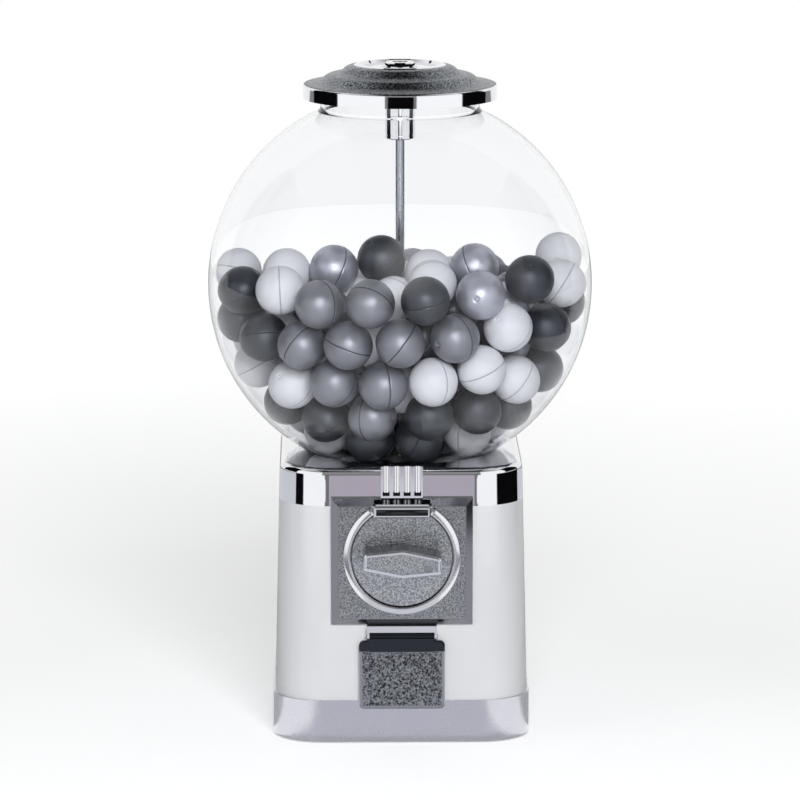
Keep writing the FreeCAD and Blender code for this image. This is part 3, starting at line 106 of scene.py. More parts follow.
def linear(code):
    """An sRGB hex colour as the linear RGBA that shaders take."""
    shares = [int(code[place : place + 2], 16) / 255 for place in (0, 2, 4)]
    return tuple(s / 12.92 if s <= 0.04045 else ((s + 0.055) / 1.055) ** 2.4 for s in shares) + (1.0,)


def dimmer(colour, share):
    """A linear colour with its brightness cut to a share."""
    return tuple(part * share for part in colour[:3]) + (1.0,)


def add(tree, kind, inputs=None, **settings):
    """Adds a node. An input is a socket to link from, or a plain value."""
    node = tree.nodes.new(kind)
    for name, value in settings.items():
        setattr(node, name, value)
    for name, value in (inputs or {}).items():
        if isinstance(value, bpy.types.NodeSocket):
            tree.links.new(value, node.inputs[name])
        else:
            node.inputs[name].default_value = value
    return node


def new_material(name):
    """An empty material, its node tree and the piece's own coordinates."""
    material = bpy.data.materials.new(name)
    material.use_nodes = True
    tree = material.node_tree
    tree.nodes.clear()
    return material, tree, add(tree, "ShaderNodeTexCoord").outputs["Object"]


def close_material(material, shader):
    """Puts a shader on a material's surface and hands the material back."""
    add(material.node_tree, "ShaderNodeOutputMaterial", {"Surface": shader.outputs[0]})
    return material


def principled(material, inputs):
    """Gives a material one Principled shader and hands the material back."""
    return close_material(material, add(material.node_tree, "ShaderNodeBsdfPrincipled", inputs))


def noise(tree, place, millimetres, detail, distortion=0.0):
    """Cloudy noise from 0 to 1, whose clouds are about this wide."""
    inputs = {"Vector": place, "Scale": 1000 / millimetres, "Detail": detail, "Distortion": distortion}
    return add(tree, "ShaderNodeTexNoise", inputs).outputs[0]


def bump(tree, height, strength, depth):
    inputs = {"Strength": strength, "Distance": depth, "Height": height}
    return add(tree, "ShaderNodeBump", inputs).outputs[0]


def blend_colours(tree, share, low, high):
    mix = add(tree, "ShaderNodeMix", {0: share, 6: low, 7: high}, data_type="RGBA")
    return mix.outputs[2]


def calculate(tree, operation, *values):
    return add(tree, "ShaderNodeMath", dict(enumerate(values)), operation=operation).outputs[0]


def both(tree, one, two):
    """One mask or value, cut down by another."""
    return calculate(tree, "MULTIPLY", one, two)


def either(tree, one, two):
    """The greater of two masks."""
    return calculate(tree, "MAXIMUM", one, two)


def ramp(tree, value, start=0.0, end=1.0, low=0.0, high=1.0, **settings):
    """A value between start and end, taken to the range from low to high and held at its ends."""
    inputs = {0: value, 1: start, 2: end, 3: low, 4: high}
    return add(tree, "ShaderNodeMapRange", inputs, **settings).outputs[0]


def spread(tree, value, low, high):
    """The middle part of a noise, where most of it lies, taken to a range."""
    return ramp(tree, value, start=0.3, end=0.7, low=low, high=high)


def inside(tree, value, limits):
    """1 where a value lies between two limits and 0 elsewhere, with a soft edge."""
    middle = sum(limits) / 2
    reach = (limits[1] - limits[0]) / 2
    away = calculate(tree, "ABSOLUTE", calculate(tree, "SUBTRACT", value, middle))
    return ramp(tree, away, start=reach - SOFT_EDGE, end=reach + SOFT_EDGE, low=1.0, high=0.0)


def split_axes(tree, place):
    return add(tree, "ShaderNodeSeparateXYZ", {0: place}).outputs


def reach_from(tree, axes, x, y, z):
    """How far each point is from a place. An axis given as None is left out."""
    parts = {}
    for index, middle in enumerate((x, y, z)):
        if middle is not None:
            parts[index] = calculate(tree, "SUBTRACT", axes[index], middle)
    across = add(tree, "ShaderNodeCombineXYZ", parts).outputs[0]
    return add(tree, "ShaderNodeVectorMath", {0: across}, operation="LENGTH").outputs["Value"]


# Finishes


def gloss_enamel(colour):
    """Stoved white enamel on sheet steel: even and glossy, with the faint orange peel of sprayed paint."""
    material, tree, place = new_material("white stoved enamel")
    cloud = noise(tree, place, millimetres=60, detail=2)
    peel = noise(tree, place, millimetres=2.2, detail=1)
    pale = linear(colour)
    return principled(
        material,
        {
            "Base Color": blend_colours(tree, cloud, dimmer(pale, 0.95), pale),
            "Roughness": ramp(tree, cloud, low=0.25, high=0.28),
            "Coat Weight": 0.5,
            "Coat Roughness": 0.06,
            "Normal": bump(tree, peel, strength=0.004, depth=0.0002),
        },
    )


def plated(name, colour, polish, grain):
    """Plated or bare metal: a mirror or a satin face, with faint cloudy polishing marks."""
    material, tree, place = new_material(name)
    cloud = noise(tree, place, millimetres=grain, detail=3)
    bright = linear(colour)
    return principled(
        material,
        {
            "Base Color": blend_colours(tree, cloud, dimmer(bright, 0.92), bright),
            "Metallic": 1.0,
            "Roughness": spread(tree, cloud, polish * 0.8, polish * 1.3),
        },
    )


def hammered(name, tones, smooth, polish, grain, region, painted_shade_patch=None, painted_shade_tone=None):
    """Grained plated casting: a fine leather grain in a region, with random specks of a bright tone as
    painted glints over a dark tone of painted dark reflection, and smooth rims.

    A darker tone of painted shade may lie on the smooth part.
    """
    material, tree, place = new_material(name)
    axes = split_axes(tree, place)
    mask = region(tree, axes)
    cells = add(tree, "ShaderNodeTexVoronoi", {"Vector": place, "Scale": 1000 / grain}).outputs["Distance"]
    speck = noise(tree, place, millimetres=grain * 0.9, detail=2)
    # Random specks of the bright tone: painted glints, over the dark tone as painted dark reflection
    worn = ramp(tree, speck, start=0.36, end=0.64)
    rim = linear(smooth)
    if painted_shade_patch:
        rim = blend_colours(tree, painted_shade_patch(tree, axes), rim, linear(painted_shade_tone))
    grained = blend_colours(tree, worn, linear(tones[0]), linear(tones[1]))
    return principled(
        material,
        {
            "Base Color": blend_colours(tree, mask, rim, grained),
            "Metallic": 1.0,
            "Roughness": ramp(tree, mask, low=polish, high=0.34),
            "Normal": bump(tree, both(tree, cells, mask), strength=0.8, depth=grain * 0.00022),
        },
    )


def lid_region(tree, axes):
    """The lid's sloping top, between its rim and the lock."""
    slope = inside(tree, reach_from(tree, axes, 0, 0, None), LID_GRAIN_RADII)
    return both(tree, slope, inside(tree, axes[2], LID_GRAIN_HEIGHTS))


def face_region(tree, axes):
    """The faceplate's flat panel, round the raised ring."""
    panel = both(tree, inside(tree, axes[0], FACE_GRAIN_ACROSS), inside(tree, axes[2], FACE_GRAIN_HEIGHTS))
    out = reach_from(tree, axes, 0, None, KNOB_AXIS_HEIGHT)
    return both(tree, panel, inside(tree, out, FACE_GRAIN_RADII))


def knob_region(tree, axes):
    """The knob's disc, and the sunk face of its handle."""
    return either(tree, inside(tree, axes[1], KNOB_DISC_DEPTHS), inside(tree, axes[1], HANDLE_FACE_DEPTHS))


def knob_sides_painted_shade(tree, axes):
    """The drafted sides of the knob's handle, painted darker as painted shade and a painted dark reflection.
    """
    return inside(tree, axes[1], HANDLE_SIDE_PAINTED_SHADE_DEPTHS)


def door_region(tree, axes):
    """The door's front panel, inside its rim."""
    panel = both(tree, inside(tree, axes[0], DOOR_GRAIN_ACROSS), inside(tree, axes[2], DOOR_GRAIN_HEIGHTS))
    return both(tree, panel, inside(tree, axes[1], DOOR_GRAIN_DEPTHS))


def door_tab_painted_shade(tree, axes):
    """The door's smooth top, which rolls round the pin, painted darker as painted shade."""
    return inside(tree, axes[2], DOOR_TAB_PAINTED_SHADE_HEIGHTS)


def fluted_chrome(colour):
    """Polished chrome guide: bright flutes whose feet are painted dark, as painted shade."""
    material, tree, place = new_material("fluted chrome guide")
    axes = split_axes(tree, place)
    along = calculate(tree, "WRAP", axes[0], FLUTE_PITCH, 0.0)
    feet = inside(tree, axes[2], FLUTE_FOOT_SHADE_HEIGHTS)
    # A dark tone painted at each flute's foot, as painted shade
    painted_socket_shade = both(tree, inside(tree, along, FLUTE_FOOT_SHADE_ACROSS), feet)
    tone = blend_colours(tree, painted_socket_shade, linear(colour), linear("202326"))
    return principled(material, {"Base Color": tone, "Metallic": 1.0, "Roughness": 0.06})


def clear_acrylic():
    """Blown clear acrylic: it lets lamps through to the balls and mirrors the room at its edge.

    The index is low for acrylic, because at its true value the wall's own gloss veils the balls.
    """
    material, tree, place = new_material("clear blown acrylic")
    ripple = noise(tree, place, millimetres=45, detail=1)
    glass = add(
        tree,
        "ShaderNodeBsdfPrincipled",
        {
            "Base Color": linear("FBFCFD"),
            "Roughness": 0.0,
            "IOR": 1.22,
            "Transmission Weight": 1.0,
            "Normal": bump(tree, ripple, strength=0.02, depth=0.0005),
        },
    )
    open_way = add(tree, "ShaderNodeBsdfTransparent", {"Color": linear("F7F8FA")})
    path = add(tree, "ShaderNodeLightPath").outputs
    lamp = either(tree, path["Is Shadow Ray"], path["Is Diffuse Ray"])
    ways = {0: lamp, 1: glass.outputs[0], 2: open_way.outputs[0]}
    return close_material(material, add(tree, "ShaderNodeMixShader", ways))


def ball_plastic(name, colour, pearl):
    """Moulded pearl plastic: fine bright flakes that gather the light in a broad soft spot."""
    material, tree, place = new_material(name)
    cloud = noise(tree, place, millimetres=14, detail=3, distortion=0.8)
    sink = noise(tree, place, millimetres=11, detail=0)
    pale = linear(colour)
    return principled(
        material,
        {
            "Base Color": blend_colours(tree, cloud, dimmer(pale, 0.84), pale),
            "Metallic": pearl,
            "Roughness": spread(tree, cloud, 0.40, 0.46),
            "Normal": bump(tree, sink, strength=0.04, depth=0.0004),
        },
    )


def moulded(name, colour, rough, grain):
    """Plain moulded plastic or rubber: an even tone with a fine eroded grain."""
    material, tree, place = new_material(name)
    eroded = noise(tree, place, millimetres=grain, detail=2)
    pale = linear(colour)
    return principled(
        material,
        {
            "Base Color": blend_colours(tree, eroded, dimmer(pale, 0.85), pale),
            "Roughness": spread(tree, eroded, rough * 0.9, rough * 1.1),
            "Normal": bump(tree, eroded, strength=0.15, depth=0.0002),
        },
    )


def dress(material, *names):
    """Gives CAD nodes their finish."""
    for name in names:
        slots = NODES[name].data.materials
        slots.clear()
        slots.append(material)


def new_piece(name, shape, material, body, *nodes):
    """Makes a finished piece from a bmesh, which stands for its CAD nodes and rides on a body."""
    mesh = bpy.data.meshes.new(name)
    shape.to_mesh(mesh)
    shape.free()
    for face in mesh.polygons:
        face.use_smooth = True
    mesh.materials.append(material)
    piece = bpy.data.objects.new(name, mesh)
    bpy.context.scene.collection.objects.link(piece)
    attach(piece, body)
    if nodes:
        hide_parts(*nodes)
    return piece


# Sizes and colours that a user may change


class FinishSettings(bpy.types.PropertyGroup):
    enamel: bpy.props.StringProperty(
        name="Enamel", description="sRGB hex of the body's enamel", default="E6E7EA"
    )
    chrome: bpy.props.StringProperty(
        name="Chrome", description="sRGB hex of polished plating", default="E6E7EA"
    )
    satin: bpy.props.StringProperty(
        name="Satin plating", description="sRGB hex of the base", default="D2D2DA"
    )
    casting: bpy.props.StringProperty(
        name="Casting", description="sRGB hex of the faceplate's rim", default="96969B"
    )
    grain: bpy.props.FloatProperty(
        name="Grain", description="Width of the castings' grain in mm", default=1.05
    )


class BallSettings(bpy.types.PropertyGroup):
    seam: bpy.props.FloatProperty(
        name="Seam depth", description="Depth of the mould seam", default=0.0003, unit="LENGTH"
    )
    gate: bpy.props.FloatProperty(
        name="Gate depth", description="Depth of the gate mark at one pole", default=0.0006, unit="LENGTH"
    )
    black: bpy.props.StringProperty(name="Black", description="sRGB hex", default="4A4D53")
    grey: bpy.props.StringProperty(name="Grey", description="sRGB hex", default="8D8E96")
    silver: bpy.props.StringProperty(name="Silver", description="sRGB hex", default="B6B8C4")
    white: bpy.props.StringProperty(name="White", description="sRGB hex", default="F6F6FA")


class FittingSettings(bpy.types.PropertyGroup):
    ring_outer: bpy.props.FloatProperty(
        name="Ring outside", description="Outer radius of the ring", default=0.0385, unit="LENGTH"
    )
    ring_inner: bpy.props.FloatProperty(
        name="Ring inside", description="Inner radius of the ring", default=0.0338, unit="LENGTH"
    )
    ring_crown: bpy.props.FloatProperty(
        name="Ring crown", description="How far its inner edge stands proud", default=0.0008, unit="LENGTH"
    )
    ring_height: bpy.props.FloatProperty(
        name="Ring height", description="Height of the knob's axis", default=KNOB_AXIS_HEIGHT, unit="LENGTH"
    )
    window_lip: bpy.props.FloatProperty(
        name="Window lip", description="Rim round the hood's window", default=0.0015, unit="LENGTH"
    )
    window_height: bpy.props.FloatProperty(
        name="Window height", description="Height of the hood's window", default=0.0042, unit="LENGTH"
    )
    dimple_place: bpy.props.FloatVectorProperty(
        name="Dimple",
        description="Place on the handle, across and up",
        size=2,
        default=(0.0166, 0.1231),
        subtype="XYZ",
    )
    dimple_radius: bpy.props.FloatProperty(
        name="Dimple radius", description="Radius of the handle's dimple", default=0.0028, unit="LENGTH"
    )
    dimple_sink: bpy.props.FloatProperty(
        name="Handle inset", description="From its rim to its sunk face", default=0.0008, unit="LENGTH"
    )


class StageSettings(bpy.types.PropertyGroup):
    distance: bpy.props.FloatProperty(
        name="Camera distance", description="From the camera to the target", default=3.3, unit="LENGTH"
    )
    elevation: bpy.props.FloatProperty(
        name="Elevation", description="Camera above the horizon", default=math.radians(10.4), subtype="ANGLE"
    )
    azimuth: bpy.props.FloatProperty(
        name="Azimuth", description="Camera left of the front", default=math.radians(0.85), subtype="ANGLE"
    )
    target: bpy.props.FloatProperty(
        name="Target height", description="Height that the camera looks at", default=0.215, unit="LENGTH"
    )
    lens: bpy.props.FloatProperty(name="Lens", description="Focal length in mm", default=221.6)
    sky: bpy.props.FloatProperty(name="Sky", description="Light from all round", default=0.13)
    key: bpy.props.FloatProperty(name="Key lamp", description="Front softbox in W", default=40.0)
    fill: bpy.props.FloatProperty(name="Fill lamp", description="Left softbox in W", default=5.0)
    top: bpy.props.FloatProperty(name="Top lamp", description="Overhead softbox in W", default=6.0)
    room: bpy.props.FloatProperty(name="Room", description="Brightness behind the camera", default=0.3)
    glow: bpy.props.FloatProperty(name="Lamp glow", description="Brightness in mirrors", default=9.0)


# Pieces


class GUMBALL_OT_finishes(bpy.types.Operator):
    """Finish the pieces whose solids already have the right shape"""

    bl_idname = "gumball.finishes"
    bl_label = "Finishes"

    def execute(self, context):
        chosen = context.scene.gumball_finishes
        grain = chosen.grain
        chrome = plated("polished chrome plate", chosen.chrome, polish=0.05, grain=30)
        satin = plated("satin chrome plate", chosen.satin, polish=0.24, grain=12)
        steel = plated("plain turned steel", "A2A6AC", polish=0.22, grain=6)
        brass = plated("turned brass", "C9A45C", polish=0.2, grain=8)
        plastic = moulded("grey moulded ABS", "8E9096", rough=0.45, grain=0.9)
        rubber = moulded("black rubber", "1E1E20", rough=0.7, grain=0.7)
        # Each grained finish's two tones are a painted dark reflection and painted glints, laid at random
        # over the grain
        lid = hammered(
            "grained chrome lid",
            tones=("1C1F24", "A6ABB2"),
            smooth=chosen.chrome,
            polish=0.05,
            grain=grain * 1.2,
            region=lid_region,
        )
        face = hammered(
            "grained chrome face",
            tones=("72757A", "C8CBD0"),
            smooth=chosen.casting,
            polish=0.12,
            grain=grain,
            region=face_region,
        )
        knob = hammered(
            "grained chrome knob",
            tones=("92969B", "E2E5EA"),
            smooth="E6E7EC",
            polish=0.16,
            grain=grain,
            region=knob_region,
            # The handle's sides take a darker tone: painted shade and a painted dark reflection
            painted_shade_patch=knob_sides_painted_shade,
            painted_shade_tone="5A5D62",
        )
        door = hammered(
            "grained chrome door",
            tones=("303338", "A8ABB0"),
            smooth="9A9DA3",
            polish=0.12,
            grain=grain * 1.4,
            region=door_region,
            # The door's rolled top takes a darker tone: painted shade
            painted_shade_patch=door_tab_painted_shade,
            painted_shade_tone="383C41",
        )
        dress(gloss_enamel(chosen.enamel), "body_shell")
        dress(satin, "base_tray")
        dress(chrome, "top_collar", "lock_housing", "lock_nut", "rod_coupling")
        dress(chrome, "coin_slot_hood", "door_bracket")
        dress(steel, "centre_rod", "rod_nuts", "rod_washers", "lock_plug", "hopper_screws", "knob_shaft")
        dress(steel, "coin_carrier", "ratchet_wheel", "pinion_set_screw", "ratchet_pawl", "pawl_pin")
        dress(steel, "pawl_spring", "mech_back_plate", "mech_screws", "ball_deflector", "door_pin")
        dress(brass, "wheel_bush", "drive_pinion")
        dress(plastic, "hopper_cup", "dispensing_wheel", "chute")
        dress(rubber, "rubber_feet")
        dress(lid, "lid")
        dress(face, "mech_faceplate")
        dress(knob, "turn_knob")
        dress(door, "chute_door")
        dress(fluted_chrome(chosen.chrome), "coin_guide")
        dress(clear_acrylic(), "globe")
        return {"FINISHED"}


def ball_shape(radius, seam, gate):
    """One ball, turned from half its outline: a seam groove round the middle and a gate mark at the top.

    The outline is latitudes in degrees, each with its height above the ball's surface.
    """
    outline = [(90, 0), (87.2, 0), (86.2, -gate), (84.8, -gate), (83.8, 0)]
    outline += [(latitude, 0) for latitude in (78, *range(68, 12, -11), 4, 1.5)]
    outline += [(0.6, -seam), (-0.6, -seam)]
    outline += [(-latitude, 0) for latitude in (1.5, 4, *range(13, 80, 11), 90)]
    shape = bmesh.new()
    points = []
    for latitude, rise in outline:
        reach = radius + rise
        angle = math.radians(latitude)
        points.append(shape.verts.new((reach * math.cos(angle), 0, reach * math.sin(angle))))
    edges = [shape.edges.new(pair) for pair in zip(points, points[1:])]
    bmesh.ops.spin(
        shape, geom=points + edges, cent=(0, 0, 0), axis=(0, 0, 1), angle=math.tau, steps=28, use_merge=True
    )
    bmesh.ops.remove_doubles(shape, verts=shape.verts, dist=radius * 0.002)
    bmesh.ops.recalc_face_normals(shape, faces=shape.faces)
    groove = radius * math.sin(math.radians(2))
    # The seam groove's faces take the second, darker finish: painted shade
    for face in shape.faces:
        face.material_index = int(abs(face.calc_center_median().z) < groove)
    return shape


def solid_boxes(node):
    """The middle and the half height of each separate solid in a CAD node."""
    shape = bmesh.new()
    shape.from_mesh(NODES[node].data)
    bmesh.ops.remove_doubles(shape, verts=shape.verts, dist=MERGE)
    left = set(shape.verts)
    found = []
    while left:
        group = [left.pop()]
        for vert in group:
            for edge in vert.link_edges:
                other = edge.other_vert(vert)
                if other in left:
                    left.remove(other)
                    group.append(other)
        low = Vector([min(vert.co[axis] for vert in group) for axis in range(3)])
        high = Vector([max(vert.co[axis] for vert in group) for axis in range(3)])
        found.append(((low + high) / 2, (high.z - low.z) / 2))
    shape.free()
    return sorted(found, key=lambda item: tuple(item[0]))


def scatter_balls(node, seam, gate, chance):
    """All the balls of a CAD node as one bmesh, each turned its own way."""
    solids = solid_boxes(node)
    one = ball_shape(solids[0][1], seam, gate)
    pattern = bpy.data.meshes.new("ball pattern")
    one.to_mesh(pattern)
    one.free()
    shape = bmesh.new()
    for middle, _ in solids:
        turn = Euler([chance.uniform(0, math.tau) for _ in range(3)]).to_matrix().to_4x4()
        known = len(shape.verts)
        shape.from_mesh(pattern)
        shape.verts.ensure_lookup_table()
        bmesh.ops.transform(shape, matrix=Matrix.Translation(middle) @ turn, verts=shape.verts[known:])
    bpy.data.meshes.remove(pattern)
    return shape


class GUMBALL_OT_balls(bpy.types.Operator):
    """Make the balls with their mould seams, each turned its own way, where the solids are"""

    bl_idname = "gumball.balls"
    bl_label = "Balls"

    def execute(self, context):
        chosen = context.scene.gumball_balls
        # Each tone's face, the darker tone painted in its seam groove as painted shade, and how metallic its
        # pearl is
        tones = {
            "balls_black": (chosen.black, "121316", 0.7),
            "balls_grey": (chosen.grey, "2E2F34", 0.7),
            "balls_silver": (chosen.silver, "55575F", 0.7),
            "balls_white": (chosen.white, "BEBEC8", 0.0),
        }
        finishes = {}
        for node, (face, seam, pearl) in tones.items():
            tone = node.removeprefix("balls_")
            finishes[node] = (
                ball_plastic(tone + " pearl plastic", face, pearl),
                ball_plastic(tone + " plastic with painted shade in the seam", seam, 0.0),
            )
        chance = random.Random(BALL_SEED)
        for node in (*finishes, "balls_in_wheel"):
            shape = scatter_balls(node, chosen.seam, chosen.gate, chance)
            body = "wheel" if node == "balls_in_wheel" else "stand"
            finish = finishes.get(node, finishes["balls_white"])
            piece = new_piece(node + "_moulded", shape, finish[0], body, node)
            piece.data.materials.append(finish[1])
        return {"FINISHED"}


class GUMBALL_OT_ring(bpy.types.Operator):
    """Make the faceplate's bright ring, open at the top where the hood sits"""

    bl_idname = "gumball.ring"
    bl_label = "Ring"

    def execute(self, context):
        chosen = context.scene.gumball_fittings
        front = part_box("mech_faceplate")[0][1]
        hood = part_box("coin_slot_hood")
        wall = chosen.ring_outer - chosen.ring_inner
        middle = Vector((0, 0, chosen.ring_height))
        shape = bmesh.new()
        points = []
        for out, back in RING_SECTION:
            place = Vector((0, front + chosen.ring_crown * back, chosen.ring_inner + wall * out))
            points.append(shape.verts.new(middle + place))
        section = shape.faces.new(points)
        clearance = math.radians(1.5)
        gap = math.asin((hood[1][0] - hood[0][0]) / 2 / chosen.ring_outer) + clearance
        bmesh.ops.rotate(shape, cent=middle, matrix=Matrix.Rotation(gap, 3, "Y"), verts=shape.verts)
        bmesh.ops.spin(
            shape,
            geom=[*points, *section.edges, section],
            cent=middle,
            axis=(0, 1, 0),
            angle=math.tau - 2 * gap,
            steps=96,
        )
        bmesh.ops.holes_fill(shape, edges=shape.edges)
        bmesh.ops.recalc_face_normals(shape, faces=shape.faces)
        satin = plated("satin chrome ring", context.scene.gumball_finishes.chrome, polish=0.2, grain=20)
        new_piece("faceplate_ring", shape, satin, "stand")
        return {"FINISHED"}


def window_shape(hood, lip, height):
    """A thin rounded pane behind the hood's rim, with its insets as shares of the lip."""
    low = Vector((hood[0][0] + lip * 2, hood[0][1] + lip * 0.7, hood[0][2] + lip))
    high = Vector((hood[1][0] - lip * 2, hood[0][1] + lip * 2.2, low.z + height))
    shape = bmesh.new()
    bmesh.ops.create_cube(shape, size=1)
    bmesh.ops.scale(shape, vec=high - low, verts=shape.verts)
    bmesh.ops.translate(shape, vec=(high + low) / 2, verts=shape.verts)
    bmesh.ops.bevel(
        shape, geom=list(shape.edges), offset=0.0004, affect="EDGES", segments=2, profile=0.5, material=-1
    )
    return shape


def pins_shape(hood, lip):
    """A small pin head at each upper corner of the hood."""
    shape = bmesh.new()
    forward = Matrix.Rotation(math.pi / 2, 3, "X")
    for side in (hood[0][0] + lip * 0.95, hood[1][0] - lip * 0.95):
        known = len(shape.verts)
        bmesh.ops.create_cone(
            shape, cap_ends=True, segments=20, radius1=0.0008, radius2=0.0007, depth=0.0012
        )
        shape.verts.ensure_lookup_table()
        pin = shape.verts[known:]
        bmesh.ops.rotate(shape, cent=(0, 0, 0), matrix=forward, verts=pin)
        bmesh.ops.translate(shape, vec=(side, hood[0][1] + lip * 0.35, hood[1][2] - lip), verts=pin)
    return shape


class GUMBALL_OT_hood(bpy.types.Operator):
    """Make the dark window and the two pins of the coin slot's hood"""

    bl_idname = "gumball.hood"
    bl_label = "Hood fittings"

    def execute(self, context):
        chosen = context.scene.gumball_fittings
        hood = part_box("coin_slot_hood")
        smoked = moulded("smoked acrylic", "14161A", rough=0.08, grain=0.8)
        pane = window_shape(hood, chosen.window_lip, chosen.window_height)
        new_piece("hood_window", pane, smoked, "stand")
        new_piece("hood_pins", pins_shape(hood, chosen.window_lip), smoked, "stand")
        return {"FINISHED"}


class GUMBALL_OT_dimple(bpy.types.Operator):
    """Make the shallow dimple on the knob's handle"""

    bl_idname = "gumball.dimple"
    bl_label = "Dimple"

    def execute(self, context):
        chosen = context.scene.gumball_fittings
        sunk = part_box("turn_knob")[0][1] + chosen.dimple_sink
        spot = Vector((chosen.dimple_place[0], sunk, chosen.dimple_place[1]))
        shape = bmesh.new()
        points = [
            shape.verts.new(spot + Vector((share * chosen.dimple_radius, -rise, 0)))
            for share, rise in DIMPLE_SECTION
        ]
        edges = [shape.edges.new(pair) for pair in zip(points, points[1:])]
        bmesh.ops.spin(
            shape, geom=points + edges, cent=spot, axis=(0, 1, 0), angle=math.tau, steps=32, use_merge=True
        )
        bmesh.ops.remove_doubles(shape, verts=shape.verts, dist=MERGE)
        bmesh.ops.holes_fill(shape, edges=shape.edges)
        bmesh.ops.recalc_face_normals(shape, faces=shape.faces)
        new_piece("handle_dimple", shape, plated("worn plate", "A9ACB1", polish=0.34, grain=3), "knob")
        return {"FINISHED"}


# Stage


def lay_card(name, corners, material, *ways):
    """A flat sheet of the stage, seen only by the kinds of ray that are named: all of them if none is."""
    shape = bmesh.new()
    shape.faces.new([shape.verts.new(corner) for corner in corners])
    mesh = bpy.data.meshes.new(name)
    shape.to_mesh(mesh)
    shape.free()
    mesh.materials.append(material)
    card = bpy.data.objects.new(name, mesh)
    bpy.context.scene.collection.objects.link(card)
    for way in ("camera", "diffuse", "glossy", "transmission", "shadow"):
        setattr(card, "visible_" + way, not ways or way in ways)


def level_corners(left, right, near, far, height):
    """Corners of a level card."""
    return [(left, near, height), (right, near, height), (right, far, height), (left, far, height)]


def standing_corners(start, end, reach, low, high):
    """Corners of an upright card at a distance, between two angles round from the front towards +X."""
    turns = (math.radians(start), math.radians(end))
    first, last = [(reach * math.sin(turn), -reach * math.cos(turn)) for turn in turns]
    return [(*first, low), (*last, low), (*last, high), (*first, high)]


def add_shaders(tree, one, two):
    return add(tree, "ShaderNodeAddShader", {0: one.outputs[0], 1: two.outputs[0]})


def floor_paper():
    """Matt white background paper: lit to white further out, and still taking the shadow."""
    material, tree, place = new_material("white background paper")
    paper = add(tree, "ShaderNodeBsdfDiffuse", {"Color": linear("F4F5F6")})
    out = add(tree, "ShaderNodeVectorMath", {0: place}, operation="LENGTH").outputs["Value"]
    lift = ramp(tree, out, start=0.3, end=1.8, low=0.45, high=0.88)
    path = add(tree, "ShaderNodeLightPath").outputs
    in_mirrors = both(tree, path["Is Glossy Ray"], 0.1)
    seen = either(tree, either(tree, path["Is Camera Ray"], path["Is Transmission Ray"]), in_mirrors)
    glow = add(tree, "ShaderNodeEmission", {"Color": linear("FFFFFF"), "Strength": both(tree, seen, lift)})
    return close_material(material, add_shaders(tree, paper, glow))


def flat_card(name, colour, strength):
    """Studio card: one even tone that shows in the chrome."""
    material, tree, _ = new_material(name)
    shader = add(tree, "ShaderNodeEmission", {"Color": linear(colour), "Strength": strength})
    return close_material(material, shader)


def glow_card(name, middle, reach, strength):
    """Diffused softbox as mirrors show it: a soft-edged light that adds to what lies behind it."""
    material, tree, place = new_material(name)
    off = add(tree, "ShaderNodeVectorMath", {0: place, 1: middle}, operation="DISTANCE").outputs["Value"]
    fade = ramp(
        tree, off, start=reach * 0.2, end=reach, low=strength, high=0.0, interpolation_type="SMOOTHSTEP"
    )
    glow = add(tree, "ShaderNodeEmission", {"Color": linear("FFFFFF"), "Strength": fade})
    clear = add(tree, "ShaderNodeBsdfTransparent")
    return close_material(material, add_shaders(tree, glow, clear))


def lay_cards(glow):
    """The floor, and the cards that the chrome and the balls mirror."""
    lay_card("floor", level_corners(-5, 5, -4, 2.5, 0), floor_paper())
    black = flat_card("black card", "08080A", 1.0)
    white = flat_card("white card", "FFFFFF", 1.15)
    dim = flat_card("dim card", "7A7A7E", 1.0)
    pale = flat_card("pale grey card", "DADBE2", 1.0)
    mauve = flat_card("mauve card", "BCB3BF", 1.0)
    # From and to an angle, then distance and heights
    upright = (
        ("left_low", (-79, -60, 0.85, 0.001, 0.16), black),
        ("left_high", (-121, -78, 0.95, 0.2, 1.1), black),
        ("right_low", (54, 118, 0.85, 0.001, 0.16), black),
        ("right_high", (76, 118, 0.95, 0.2, 1.1), black),
        ("front", (-15, 15, 2.3, 0.002, 0.3), black),
        ("white_left_low", (-59, -12, 0.86, 0.001, 0.16), white),
        ("white_left_high", (-77, -18, 0.9, 0.16, 0.75), white),
        ("white_right_low", (12, 53, 0.86, 0.001, 0.16), white),
        ("white_right_high", (18, 75, 0.9, 0.16, 0.75), white),
    )
    for name, place, tone in upright:
        lay_card("card_" + name, standing_corners(*place), tone, "glossy", "transmission")
    # Left, right, near, far and height
    level = (
        ("over", (-0.45, 0.45, -1.35, 1.0, 1.5), black),
        ("floor", (-1.2, 1.2, -2.2, -0.3, 0.0004), dim),
        ("floor_left", (-1.2, -0.3, -0.3, 1.0, 0.0004), pale),
        ("floor_right", (0.3, 1.2, -0.3, 1.0, 0.0004), pale),
        ("corner_left", (-0.3, -0.085, -0.3, -0.04, 0.0006), white),
        ("corner_right", (0.085, 0.3, -0.3, -0.04, 0.0006), white),
        ("apron", (-0.1, 0.1, -1.9, -0.98, 0.0008), mauve),
        ("near", (-0.085, 0.085, -0.98, -0.1, 0.0008), pale),
    )
    for name, place, tone in level:
        lay_card("card_" + name, level_corners(*place), tone, "glossy")
    left, right, low, high = -0.9, 1.1, 0.05, 1.95
    front = -2.0
    pane = [(left, front, low), (right, front, low), (right, front, high), (left, front, high)]
    lamp = glow_card("soft lamp in mirrors", middle=(0.1, front, 0.95), reach=0.95, strength=glow)
    lay_card("card_glow", pane, lamp, "transmission")


